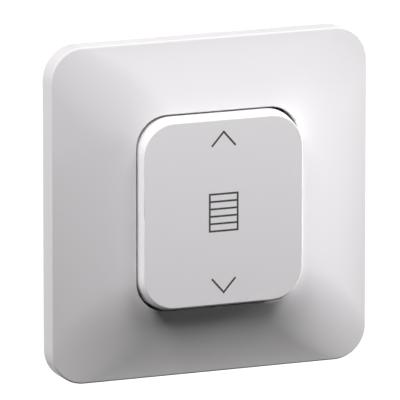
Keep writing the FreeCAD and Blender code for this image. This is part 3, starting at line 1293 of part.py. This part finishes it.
make_cover_plate()
make_rocker_key()
make_rocker_carrier()
make_plunger()
make_plunger_spring()
make_mechanism_cover()
make_support_frame()
make_mechanism_base()
make_seesaw()
make_terminals()
make_clamp_springs()
make_release_buttons()
make_claws()
make_assembly_screws()
doc.recompute()
for item in doc.Objects:
    if "Invalid" in item.State or "Error" in item.State:
        raise RuntimeError(f"{item.Name} did not build: {item.State}")
for label, piece in nodes.items():
    if piece.Shape.isNull() or not piece.Shape.isValid():
        raise RuntimeError(f"{label} has no valid shape")
for label, piece in nodes.items():
    piece.Shape.exportStep(f"parts/{label}.step")
    box = piece.Shape.BoundBox
    print(label, len(piece.Shape.Solids), round(piece.Shape.Volume, 1), box)
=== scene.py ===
# %% [markdown]
# A roller shutter switch is a wall fitting: a white cover plate with one tall rocker
# key in front, and a mechanism of plastic and pressed metal that sits in the wall box.
# The solid model already holds every piece at its real size. This lesson loads it as a
# fixed frame, gives each piece the finish of its real material, adds what is too fine
# for a solid model, and lights it like a plain product photograph.

# %% Load the frame
import json
import math

import bmesh
import bpy
from mathutils import Matrix, Vector
from mathutils.bvhtree import BVHTree


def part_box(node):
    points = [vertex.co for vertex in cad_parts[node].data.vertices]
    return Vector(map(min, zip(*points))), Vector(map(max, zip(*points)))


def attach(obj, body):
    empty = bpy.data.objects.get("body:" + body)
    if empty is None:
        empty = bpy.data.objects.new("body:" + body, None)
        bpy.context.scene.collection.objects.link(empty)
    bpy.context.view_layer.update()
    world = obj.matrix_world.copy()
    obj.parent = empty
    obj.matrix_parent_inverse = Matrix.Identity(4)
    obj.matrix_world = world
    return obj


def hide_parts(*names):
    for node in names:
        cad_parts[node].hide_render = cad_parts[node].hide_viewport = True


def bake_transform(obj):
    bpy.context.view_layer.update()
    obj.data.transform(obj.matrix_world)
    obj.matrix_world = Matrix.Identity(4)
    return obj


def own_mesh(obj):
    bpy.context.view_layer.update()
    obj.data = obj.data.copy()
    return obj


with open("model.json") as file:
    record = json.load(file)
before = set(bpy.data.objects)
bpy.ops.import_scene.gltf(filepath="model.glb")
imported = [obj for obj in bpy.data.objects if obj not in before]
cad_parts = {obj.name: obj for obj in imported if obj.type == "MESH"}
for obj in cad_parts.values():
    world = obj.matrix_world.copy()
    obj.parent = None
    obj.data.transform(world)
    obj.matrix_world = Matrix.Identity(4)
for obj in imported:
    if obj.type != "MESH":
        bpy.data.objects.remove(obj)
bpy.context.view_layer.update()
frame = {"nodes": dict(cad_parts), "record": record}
nodes = frame["nodes"]
MM = 0.001
print("pieces:", len(nodes))

# %% [markdown]
# The camera stands to the left of the switch and a little above it, far away, with a
# long lens, so the plate's edges stay almost parallel. It could be turned by hand until
# the edges agree with the photograph, but its angles and its distance were worked out
# from the plate's corners instead. A rotation matrix made of the camera's own right, up
# and back directions puts it there without any rounding.

# %% Camera
LOOK_AZIMUTH = math.radians(22.69)
LOOK_DOWN = math.radians(12.19)
DISTANCE = 1877.6 * MM
ASIDE, BELOW = 0.457 * MM, -0.252 * MM
LENS, SENSOR = 703.6, 36.0
NEAREST, FARTHEST = 0.1, 20.0


def put_in_scene(name, data):
    """A new object in the scene that shows a camera, a lamp or a mesh."""
    made = bpy.data.objects.new(name, data)
    bpy.context.scene.collection.objects.link(made)
    return made


ahead = Vector((math.sin(LOOK_AZIMUTH) * math.cos(LOOK_DOWN),
                math.cos(LOOK_AZIMUTH) * math.cos(LOOK_DOWN),
                -math.sin(LOOK_DOWN)))
right = Vector((math.cos(LOOK_AZIMUTH), -math.sin(LOOK_AZIMUTH), 0.0))
up = right.cross(ahead)

camera = put_in_scene("camera", bpy.data.cameras.new("camera"))
camera.data.lens = LENS
camera.data.sensor_width = SENSOR
camera.data.clip_start, camera.data.clip_end = NEAREST, FARTHEST
camera.matrix_world = (Matrix.Translation(-ahead * DISTANCE - right * ASIDE - up * BELOW)
                       @ Matrix((right, up, -ahead)).transposed().to_4x4())
bpy.context.scene.camera = camera
print("camera at", tuple(round(c, 3) for c in camera.location))

# %% [markdown]
# A material is a graph of nodes, and graphs are hard to read as code. The small class
# below wraps one socket, so that sums on sockets can be written as Python sums, each
# of which adds a Math node. Any other kind of node comes from its one method, which
# takes the node's kind, its settings and the values or links of its sockets.

# %% Shader sums in Python
class Wire:
    """One output socket of a node tree, with the sums that work on it."""

    def __init__(self, tree, socket=None):
        self.tree, self.socket = tree, socket

    def node(self, kind, settings=None, inputs=None, out=0):
        """Add a node: first its settings, then its sockets' values or links."""
        made = self.tree.nodes.new(kind)
        for name, value in (settings or {}).items():
            if name == "stops":
                ramp = made.color_ramp.elements
                while len(ramp) < len(value):
                    ramp.new(0.5)
                for stop, (place, colour) in zip(ramp, value):
                    stop.position, stop.color = place, (*colour, 1.0)
            else:
                setattr(made, name, value)
        for name, value in (inputs or {}).items():
            if isinstance(value, Wire):
                self.tree.links.new(value.socket, made.inputs[name])
            else:
                made.inputs[name].default_value = value
        return Wire(self.tree, made.outputs[out] if len(made.outputs) else None)

    def beside(self, name):
        """Another output of the node that this one belongs to."""
        return Wire(self.tree, self.socket.node.outputs[name])

    def sum_node(self, operation, *values):
        """A Math node on values, of which at least one is a Wire."""
        return self.node("ShaderNodeMath", {"operation": operation}, dict(enumerate(values)))

    def __add__(self, other):
        return self.sum_node("ADD", self, other)

    def __radd__(self, other):
        return self.sum_node("ADD", other, self)

    def __sub__(self, other):
        return self.sum_node("SUBTRACT", self, other)

    def __rsub__(self, other):
        return self.sum_node("SUBTRACT", other, self)

    def __mul__(self, other):
        return self.sum_node("MULTIPLY", self, other)

    def __rmul__(self, other):
        return self.sum_node("MULTIPLY", other, self)


print("sums on sockets: + - and *, with a number on either side")

# %% [markdown]
# Every finish here is a moulded plastic, a metal or an ink, so one function can start
# them all: it makes the material, hands the object's own coordinates to the maker of
# that finish, and joins the shader to the output. The coordinates are in metres, so a
# scale of 1 / (0.2 * MM) gives a grain of about 0.2 mm. Two helpers add what nearly
# every finish needs: soft random values, and a colour that lies between two colours.

# %% One function that starts a finish
def finish(name, dress):
    """Make a material whose shader comes from dress(start, place)."""
    material = bpy.data.materials.new(name)
    material.use_nodes = True
    material.node_tree.nodes.clear()
    start = Wire(material.node_tree)
    place = start.node("ShaderNodeTexCoord", out="Object")
    start.node("ShaderNodeOutputMaterial", inputs={"Surface": dress(start, place)})
    print("finish:", name, len(material.node_tree.nodes), "nodes")
    return material


def noise(start, place, grain, detail=2.0, rough=0.5):
    """Soft random values from 0 to 1, with lumps of the given size in metres."""
    return start.node("ShaderNodeTexNoise", None, {
        "Vector": place, "Scale": 1.0 / grain, "Detail": detail, "Roughness": rough})


def blend(start, amount, first, second):
    """A colour between two colours: the first at 0 and the second at 1."""
    return start.node("ShaderNodeMix", {"data_type": "RGBA"},
                      {0: amount, 6: (*first, 1.0), 7: (*second, 1.0)}, out=2)


# %% [markdown]
# Moulded plastic keeps the texture of its mould. A white cover is spark eroded very
# finely, so it looks silky rather than glossy, and the housing behind the wall is
# coarser. A picture of such a grain would have to be wrapped round each piece, but
# noises fill space and need no wrapping. Two of them do it: a fine one for the grain,
# and a broad one that shifts the colour and the gloss a little, as real mouldings vary
# where the plastic flowed.

# %% Moulded plastics
FLOW_SIZE = 18 * MM
FLOW_SHEEN, SKIN_SHEEN = 0.08, 0.05


def plastic(name, colour, roughness, grain, depth, shade=0.97, gloss=0.3):
    """A moulded plastic: grain and depth in metres, shade is its darker tone."""
    def dress(start, place):
        flow = noise(start, place, FLOW_SIZE, detail=1.0)
        skin = noise(start, place, grain, detail=3.0, rough=0.6)
        bump = start.node("ShaderNodeBump", None,
                          {"Strength": 1.0, "Distance": depth, "Height": skin})
        return start.node("ShaderNodeBsdfPrincipled", None, {
            "Base Color": blend(start, flow, tuple(c * shade for c in colour), colour),
            "Roughness": roughness + FLOW_SHEEN * (flow - 0.5) + SKIN_SHEEN * (skin - 0.5),
            "Specular IOR Level": gloss,
            "Normal": bump})
    return finish(name, dress)


silky = {"grain": 0.22 * MM, "depth": 0.004 * MM, "shade": 0.985, "gloss": 0.12}
finishes = {
    "white_plate": plastic("white_plate_finish", (0.79, 0.772, 0.787), 0.45, **silky),
    # The key gets a lighter white than the plate: painted light that brightens the key's face.
    "white_key": plastic("white_key_painted_light_finish", (0.875, 0.855, 0.872), 0.42, **silky),
    "inner_plastic": plastic("inner_plastic_finish", (0.62, 0.63, 0.65), 0.45,
                             grain=0.3 * MM, depth=0.01 * MM),
    "housing_plastic": plastic("housing_plastic_finish", (0.055, 0.06, 0.065), 0.5,
                               grain=0.35 * MM, depth=0.015 * MM, shade=0.8),
    "release_plastic": plastic("release_plastic_finish", (0.78, 0.34, 0.06), 0.42,
                               grain=0.25 * MM, depth=0.008 * MM),
}

# %% [markdown]
# Metals show how they were made. Zinc on pressed sheet has a faint pattern of crystals
# and rolling lines, turned brass has a soft satin skin with a little tarnish, and silver
# contacts are nearly plain. One even tone would look like grey paint, so all of them are
# metallic shaders whose colour and roughness shift with noises. A noise that is
# stretched one way stands for rolling or drawing lines, and small cells for crystals.

# %% Metals
CLOUD_SIZE = 6 * MM
CLOUD_SHARE, SPOT_SHARE = 0.55, 0.45
LINE_DEPTH = 0.003 * MM
LINE_SHEEN, SPOT_SHEEN = 0.16, 0.1


def metal(name, colour, dull, roughness, grain, lines, spangle=None):
    """A metal: its clean and dull colours, and lines as how far the grain is drawn out."""
    def dress(start, place):
        drawn = start.node("ShaderNodeMapping", None, {"Vector": place, "Scale": lines})
        rolled = noise(start, drawn, grain, detail=4.0, rough=0.65)
        cloud = spots = noise(start, place, CLOUD_SIZE)
        if spangle:
            cells = start.node("ShaderNodeTexVoronoi", None,
                               {"Vector": place, "Scale": 1.0 / spangle}, out="Color")
            spots = start.node("ShaderNodeSeparateColor", None, {"Color": cells})
        bump = start.node("ShaderNodeBump", None,
                          {"Strength": 1.0, "Distance": LINE_DEPTH, "Height": rolled})
        return start.node("ShaderNodeBsdfPrincipled", None, {
            "Base Color": blend(start, CLOUD_SHARE * cloud + SPOT_SHARE * spots, dull, colour),
            "Metallic": 1.0,
            "Roughness": roughness + LINE_SHEEN * (rolled - 0.5) + SPOT_SHEEN * (spots - 0.5),
            "Normal": bump})
    return finish(name, dress)


NOT_DRAWN = (1.0, 1.0, 1.0)
finishes.update({
    "zinc_steel": metal("zinc_steel_finish", (0.6, 0.61, 0.63), (0.4, 0.41, 0.43), 0.36,
                        grain=0.25 * MM, lines=(0.15, 1.0, 1.0), spangle=2.2 * MM),
    "screw_steel": metal("screw_steel_finish", (0.7, 0.69, 0.64), (0.52, 0.52, 0.5), 0.3,
                         grain=0.15 * MM, lines=NOT_DRAWN),
    "spring_steel": metal("spring_steel_finish", (0.56, 0.57, 0.6), (0.42, 0.43, 0.45), 0.28,
                          grain=0.12 * MM, lines=(1.0, 1.0, 0.2)),
    "brass": metal("brass_finish", (0.8, 0.6, 0.27), (0.66, 0.45, 0.18), 0.28,
                   grain=0.2 * MM, lines=(0.2, 1.0, 1.0)),
    "silver": metal("silver_finish", (0.84, 0.83, 0.8), (0.74, 0.72, 0.68), 0.25,
                    grain=0.2 * MM, lines=NOT_DRAWN),
})

# %% [markdown]
# The pieces could be dressed one by one by name, but the record already says which
# material each is made of, so that list hands out the finishes. Each piece of the frame
# keeps its own shape and only gets a new material in its slots.

# %% Dress every piece of the frame
slot_of = {part["node"]: part["material_slot"] for part in frame["record"]["subparts"]}
for name, piece in nodes.items():
    piece.data.materials.clear()
    piece.data.materials.append(finishes[slot_of[name]])
print("dressed:", len(slot_of), "pieces in", len(set(slot_of.values())), "materials")

# %% [markdown]
# The key carries black ink, and the back of the housing a pale grey one. Printed ink is
# a thin film that never dries quite even. One flat tone would look like a hole in the
# plastic, so both inks shift between two tones in small patches, and in gloss from
# grain to grain.

# %% Inks
INK_GRAIN, INK_SHEEN = 0.1 * MM, 0.1


def ink(name, dark, light, patch, detail, roughness):
    """An ink between two tones, in patches of the given size in metres."""
    return finish(name, lambda start, place: start.node("ShaderNodeBsdfPrincipled", None, {
        "Base Color": blend(start, noise(start, place, patch, detail), dark, light),
        "Roughness": roughness + INK_SHEEN * noise(start, place, INK_GRAIN)}))


black_ink = ink("ink_finish", (0.018, 0.016, 0.019), (0.028, 0.026, 0.029),
                patch=0.3 * MM, detail=2.0, roughness=0.45)
pale_ink = ink("pale_ink_finish", (0.3, 0.31, 0.32), (0.55, 0.56, 0.57),
               patch=0.5 * MM, detail=3.0, roughness=0.5)

# %% [markdown]
# A printed sign could be painted into the plastic's own material, but every stroke
# would then need sums of its own in that material. Here each sign is a thin strip that
# is laid on the surface. Rays cast at the piece find its face below every corner of the
# sign, so that the strip lies on it, and the strip is then thickened outwards.

# %% How a mark is laid on a face
FRONT, REAR = -1, 1
TOUCHING = 1e-7


def mesh_piece(name, shape):
    """A new piece in the scene, made of a finished bmesh."""
    mesh = bpy.data.meshes.new(name)
    shape.to_mesh(mesh)
    shape.free()
    return put_in_scene(name, mesh)


def lay_marks(name, outlines, node, side, depth, material, body):
    """Lay outlines, given as corners (x, z), on the front or rear of a node, this thick."""
    ground = BVHTree.FromObject(nodes[node], bpy.context.evaluated_depsgraph_get())
    inwards = Vector((0.0, -side, 0.0))
    shape = bmesh.new()
    for outline in outlines:
        spots = [ground.ray_cast(Vector((x, side, z)), inwards)[0] for x, z in outline]
        shape.faces.new([shape.verts.new(spot) for spot in spots])
    bmesh.ops.remove_doubles(shape, verts=shape.verts, dist=TOUCHING)
    bmesh.ops.recalc_face_normals(shape, faces=shape.faces)
    film = bmesh.ops.extrude_face_region(shape, geom=list(shape.faces))
    lifted = [v for v in film["geom"] if isinstance(v, bmesh.types.BMVert)]
    bmesh.ops.translate(shape, verts=lifted, vec=(0.0, side * depth, 0.0))
    bmesh.ops.recalc_face_normals(shape, faces=shape.faces)
    piece = mesh_piece(name, shape)
    piece.data.materials.append(material)
    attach(piece, body)
    print(name, len(piece.data.polygons), "faces")


# %% [markdown]
# Three signs are printed on the key: an arrowhead for up, a shutter with its slats and
# an arrowhead for down. They could be drawn by hand as curves, but all have the same
# width of line, so they are worked out from that width and a few measures.

# %% The signs on the key
INK_WIDTH = 0.47 * MM
INK_DEPTH = 0.01 * MM
ARROW_TIP, ARROW_FOOT, ARROW_HALF = 19.95 * MM, 16.3 * MM, 3.25 * MM
SHUTTER_WIDTH, SHUTTER_HEIGHT, SLATS = 7.69 * MM, 9.47 * MM, 5


def arrowhead(sign):
    """Two strokes with square ends that meet in a mitred tip, up for 1, down for -1."""
    slope = (ARROW_TIP - ARROW_FOOT) / ARROW_HALF
    length = math.sqrt(1 + slope * slope)
    drop, cut = INK_WIDTH * length, INK_WIDTH * slope / length
    return [[(0.0, sign * ARROW_TIP), (side * ARROW_HALF, sign * ARROW_FOOT),
             (side * (ARROW_HALF - cut), sign * (ARROW_FOOT - INK_WIDTH / length)),
             (0.0, sign * (ARROW_TIP - drop))] for side in (-1, 1)]


def bar(low_x, high_x, low_z, high_z):
    """The outline of an upright rectangle."""
    return [(low_x, low_z), (high_x, low_z), (high_x, high_z), (low_x, high_z)]


half_width, half_height = SHUTTER_WIDTH / 2, SHUTTER_HEIGHT / 2
inner = half_width - INK_WIDTH
shutter = [bar(-half_width, -inner, -half_height, half_height),
           bar(inner, half_width, -half_height, half_height)]
for row in range(SLATS + 1):
    low = -half_height + row * (SHUTTER_HEIGHT - INK_WIDTH) / SLATS
    shutter.append(bar(-inner, inner, low, low + INK_WIDTH))

for name, strokes in (("sign_up", arrowhead(1)), ("sign_down", arrowhead(-1)),
                      ("sign_shutter", shutter)):
    lay_marks(name, strokes, "rocker_key", FRONT, INK_DEPTH, black_ink, "rocker")

# %% [markdown]
# An installer sees only the back, so pale marks are printed there: an arrow beside the
# terminal for up and the one for down, one that points to the common terminal, and a
# gauge that shows how much of the wire to strip. They are laid on the housing in the
# same way as the signs, and their ink is a little thicker.

# %% Printed marks on the back
MARK_DEPTH = 0.03 * MM
ARROW_LENGTH, ARROW_WIDTH, STEM_WIDTH = 3.6 * MM, 2.8 * MM, 0.8 * MM
NECK_AT = 0.05
MARKS_X, MARKS_Z = -9.0 * MM, 15.6 * MM
COMMON_X = 3.6 * MM
GAUGE_START, GAUGE_END = -14.0 * MM, -4.0 * MM
GAUGE_LINE, GAUGE_TICK = 0.5 * MM, 2.4 * MM


def arrow(middle, ahead):
    """A solid arrow round its middle: ahead is the (x, z) direction that it points in."""
    aside = (-ahead[1], ahead[0])

    def spot(along, across):
        return tuple(middle[i] + along * ahead[i] + across * aside[i] for i in range(2))
    tip, neck, tail = ARROW_LENGTH / 2, NECK_AT * ARROW_LENGTH, -ARROW_LENGTH / 2
    return [[spot(tip, 0.0), spot(neck, -ARROW_WIDTH / 2), spot(neck, ARROW_WIDTH / 2)],
            [spot(neck, -STEM_WIDTH / 2), spot(neck, STEM_WIDTH / 2),
             spot(tail, STEM_WIDTH / 2), spot(tail, -STEM_WIDTH / 2)]]


gauge = [bar(GAUGE_START, GAUGE_END, -GAUGE_LINE / 2, GAUGE_LINE / 2)]
for end in (GAUGE_START - GAUGE_LINE, GAUGE_END):
    gauge.append(bar(end, end + GAUGE_LINE, -GAUGE_TICK / 2, GAUGE_TICK / 2))
for name, outlines in (("mark_up", arrow((MARKS_X, -MARKS_Z), (0.0, 1.0))),
                       ("mark_down", arrow((MARKS_X, MARKS_Z), (0.0, -1.0))),
                       ("mark_common", arrow((COMMON_X, 0.0), (1.0, 0.0))),
                       ("mark_gauge", gauge)):
    lay_marks(name, outlines, "mechanism_base", REAR, MARK_DEPTH, pale_ink, "housing")

# %% [markdown]
# The screws that spread the claws are seen from the side, and a plain rod would not
# pass for a screw. A bump in the material would leave the outline smooth, so the thread
# is real shape. The head of the solid screw is kept, with its cross slot, and the rod
# is replaced by a grid of points rolled up round the axis, whose radius follows a
# thread: it rises and falls once for each half millimetre and for each turn. The first
# turn and the last turn and a half run out to the core, as on a rolled screw.

# %% Threads on the claw screws
PITCH, THREAD_DEPTH = 0.5 * MM, 0.32 * MM
FLANK_TOP, FLANK_SLOPE = 1.25, 3.2
HEAD_TURNS, TIP_TURNS = 1.0, 1.5
POINTS_ROUND, RINGS_A_TURN = 28, 7
HEAD_END = -1.2 * MM
AT_TIP = 0.001 * MM
SHARP_EDGE = math.radians(30)


def thread_height(phase):
    """Height of the thread, 0 to 1: sloping flanks, cut flat at the root and the crest."""
    return min(1.0, max(0.0, FLANK_TOP - abs(phase % 1.0 - 0.5) * FLANK_SLOPE))


def cut_across(shape, point, direction, drop_beyond=False):
    """Cut a bmesh with a plane, and drop what lies beyond it if that is asked."""
    everything = list(shape.verts) + list(shape.edges) + list(shape.faces)
    bmesh.ops.bisect_plane(shape, geom=everything, plane_co=point, plane_no=direction,
                           clear_outer=drop_beyond)


def threaded_screw(node, body):
    """The node's own head with a threaded shank, in place of the node."""
    low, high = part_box(node)
    axis_x, axis_z, tip = (low.x + high.x) / 2, (low.z + high.z) / 2, high.y
    shape = bmesh.new()
    shape.from_mesh(nodes[node].data)
    shaft = [v.co for v in shape.verts if v.co.y > tip - AT_TIP]
    major = max(math.hypot(co.x - axis_x, co.z - axis_z) for co in shaft)
    cut_across(shape, (0.0, HEAD_END, 0.0), (0.0, 1.0, 0.0), drop_beyond=True)
    rings = []
    count = int((tip - HEAD_END) / PITCH * RINGS_A_TURN)
    for step in range(count + 1):
        y = HEAD_END + (tip - HEAD_END) * step / count
        run_out = min(1.0, (y - HEAD_END) / (HEAD_TURNS * PITCH),
                      (tip - y) / (TIP_TURNS * PITCH))
        ring = []
        for point in range(POINTS_ROUND):
            angle = 2 * math.pi * point / POINTS_ROUND
            ridge = thread_height((y - HEAD_END) / PITCH - point / POINTS_ROUND) * run_out
            radius = major - THREAD_DEPTH * (1 - ridge)
            ring.append(shape.verts.new((axis_x + radius * math.cos(angle), y,
                                         axis_z - radius * math.sin(angle))))
        rings.append(ring)
    for before, after in zip(rings, rings[1:]):
        for point in range(POINTS_ROUND):
            beside = (point + 1) % POINTS_ROUND
            shape.faces.new((before[point], before[beside], after[beside], after[point]))
    shape.faces.new(rings[-1])
    bmesh.ops.recalc_face_normals(shape, faces=shape.faces)
    piece = mesh_piece(node + "_threaded", shape)
    piece.data.set_sharp_from_angle(angle=SHARP_EDGE)
    piece.data.materials.clear()
    piece.data.materials.append(finishes["screw_steel"])
    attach(piece, body)
    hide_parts(node)
    print(piece.name, len(piece.data.polygons), "faces, radius", round(major / MM, 2), "mm")


threaded_screw("left_claw_screw", "left_screw")
threaded_screw("right_claw_screw", "right_screw")

# %% [markdown]
# Four steel springs change shape as the switch works, which a rigid piece can't do. They
# could be keyed by hand for every position; here each is only copied into a piece of its
# own, in place of the solid one. The coil behind the plunger goes with the rocker. A
# clamp spring is a bent leaf, and its copy is cut across in thin slices.

# %% Springs in pieces of their own
SLICE = 0.3 * MM


def stand_in(node):
    """A copy of a node's mesh in a piece of its own, in place of the node."""
    piece = put_in_scene(node + "_live", nodes[node].data.copy())
    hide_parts(node)
    return piece


low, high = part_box("plunger_spring")
coil = stand_in("plunger_spring")
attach(coil, "rocker")
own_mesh(coil)
print(coil.name, "is", round((high.y - low.y) / MM, 2), "mm long at rest")

for name in ("up", "down", "common"):
    leaf = stand_in(name + "_clamp_spring")
    low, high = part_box(name + "_clamp_spring")
    shape = bmesh.new()
    shape.from_mesh(leaf.data)
    for cut in range(1, int((high.x - low.x) / SLICE)):
        cut_across(shape, (low.x + cut * SLICE, 0.0, 0.0), (1.0, 0.0, 0.0))
    shape.to_mesh(leaf.data)
    shape.free()
    name + "_button"
    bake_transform(leaf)
    print(leaf.name, len(leaf.data.polygons), "faces")

# %% [markdown]
# A product shot on white has no visible ground. Much light on a white floor would give
# that, but it would also bounce up and wash out the shape of the switch. So the floor
# glows only where the camera, a mirror or glass sees it, and is dark for scattered
# light. It lies below the plate and keeps the shadow of the switch, most of it under
# the view, and further out it fades to plain white.

# %% Floor
FLOOR_LEVEL, FLOOR_SIZE = -0.085, 12.0
GREY_WITHIN, WHITE_BEYOND = 0.1, 0.5
NEAR_GLOW, FAR_GLOW = (0.7, 0.7, 0.7), (1.0, 1.0, 1.0)
SHOWN_FLOOR, HIDDEN_FLOOR = (0.5, 0.5, 0.5, 1.0), (0.03, 0.03, 0.03, 1.0)


def seen_directly(start):
    """1 for rays from the camera, a mirror or glass, and 0 for scattered light."""
    camera_ray = start.node("ShaderNodeLightPath", out="Is Camera Ray")
    return (camera_ray + camera_ray.beside("Is Glossy Ray")
            + camera_ray.beside("Is Transmission Ray"))


def floor_shader(start, place):
    """Lit and glowing where it is seen, and nearly black for scattered light."""
    away = start.node("ShaderNodeVectorMath", {"operation": "LENGTH"}, {0: place}, out="Value")
    fade = start.node("ShaderNodeMapRange", {"interpolation_type": "SMOOTHSTEP"}, {
        "Value": away, "From Min": GREY_WITHIN, "From Max": WHITE_BEYOND,
        "To Min": 0.0, "To Max": 1.0})
    lit = start.node("ShaderNodeBsdfDiffuse", None, {"Color": SHOWN_FLOOR})
    glow = start.node("ShaderNodeEmission", None, {
        "Color": blend(start, fade, NEAR_GLOW, FAR_GLOW), "Strength": 1.0})
    bright = start.node("ShaderNodeAddShader", None, {0: lit, 1: glow})
    dim = start.node("ShaderNodeBsdfDiffuse", None, {"Color": HIDDEN_FLOOR})
    return start.node("ShaderNodeMixShader", None,
                      {0: seen_directly(start), 1: dim, 2: bright})


bpy.ops.mesh.primitive_plane_add(size=FLOOR_SIZE, location=(0.0, 0.0, FLOOR_LEVEL))
floor = bpy.context.object
floor.name = "floor"
floor.data.materials.append(finish("floor_finish", floor_shader))
print("floor at", round(FLOOR_LEVEL / MM), "mm")

# %% [markdown]
# The rest of the surroundings work in the same way: white where the camera, a mirror or
# glass sees them, and nearly dark for scattered light, so that the light on the switch
# comes from the lamps alone and the shadows between key and plate stay deep.

# %% Surroundings
WHITE = (1.0, 1.0, 1.0, 1.0)
AMBIENT = 0.015

world = bpy.data.worlds.new("surroundings")
bpy.context.scene.world = world
world.use_nodes = True
world.node_tree.nodes.clear()
start = Wire(world.node_tree)
dim = start.node("ShaderNodeBackground", None, {"Color": WHITE, "Strength": AMBIENT})
white = start.node("ShaderNodeBackground", None, {"Color": WHITE, "Strength": 1.0})
start.node("ShaderNodeOutputWorld", inputs={"Surface": start.node(
    "ShaderNodeMixShader", None, {0: seen_directly(start), 1: dim, 2: white})})
print("surroundings:", len(world.node_tree.nodes), "nodes")

# %% [markdown]
# Product photographs of white mouldings are lit from the sides, because light that
# comes from the front would wash the shape out. Two soft boxes stand above the switch,
# three beside it and one behind. Those beside it graze the plate, so each flank takes a
# tone of its own, and those above throw the soft shadow under the key. They stand only
# half a metre away, so their light falls off from the top of the switch to its bottom,
# as it does in the photograph. Each lamp's strength is given as the brightness of a
# white card that faces it at the switch, and its power in watts follows from its
# distance.

# %% Lamps
LAMP_DISTANCE = 0.5
SMALL, LARGE = 0.15, 0.4


def soft_box(name, azimuth, elevation, size, light):
    """A square area lamp that points at the switch, at angles given in degrees."""
    turn, rise = math.radians(azimuth), math.radians(elevation)
    towards = Vector((math.sin(turn) * math.cos(rise), -math.cos(turn) * math.cos(rise),
                      math.sin(rise)))
    lamp = bpy.data.lights.new(name, "AREA")
    lamp.size = size
    lamp.energy = light * (math.pi * LAMP_DISTANCE) ** 2
    held = put_in_scene(name, lamp)
    held.location = towards * LAMP_DISTANCE
    held.rotation_euler = towards.to_track_quat("Z", "Y").to_euler()
    print(name, round(lamp.energy, 1), "W")


soft_box("top_left_box", -45, 48, SMALL, 0.69)
soft_box("top_right_box", 30, 48, SMALL, 0.38)
soft_box("right_front_box", 75, 22, SMALL, 0.58)
soft_box("right_box", 90, 1, SMALL, 1.0)
soft_box("left_box", -98, 5, SMALL, 0.38)
soft_box("back_box", 180, 0, LARGE, 0.22)

# %% [markdown]
# Blender can bend the tones of a picture as film does, which flatters a scene with
# strong lights. A white switch on white should show each colour as it is written, so
# the plain Standard view is set.

# %% View settings
bpy.context.scene.view_settings.view_transform = "Standard"
print("view:", bpy.context.scene.view_settings.view_transform)
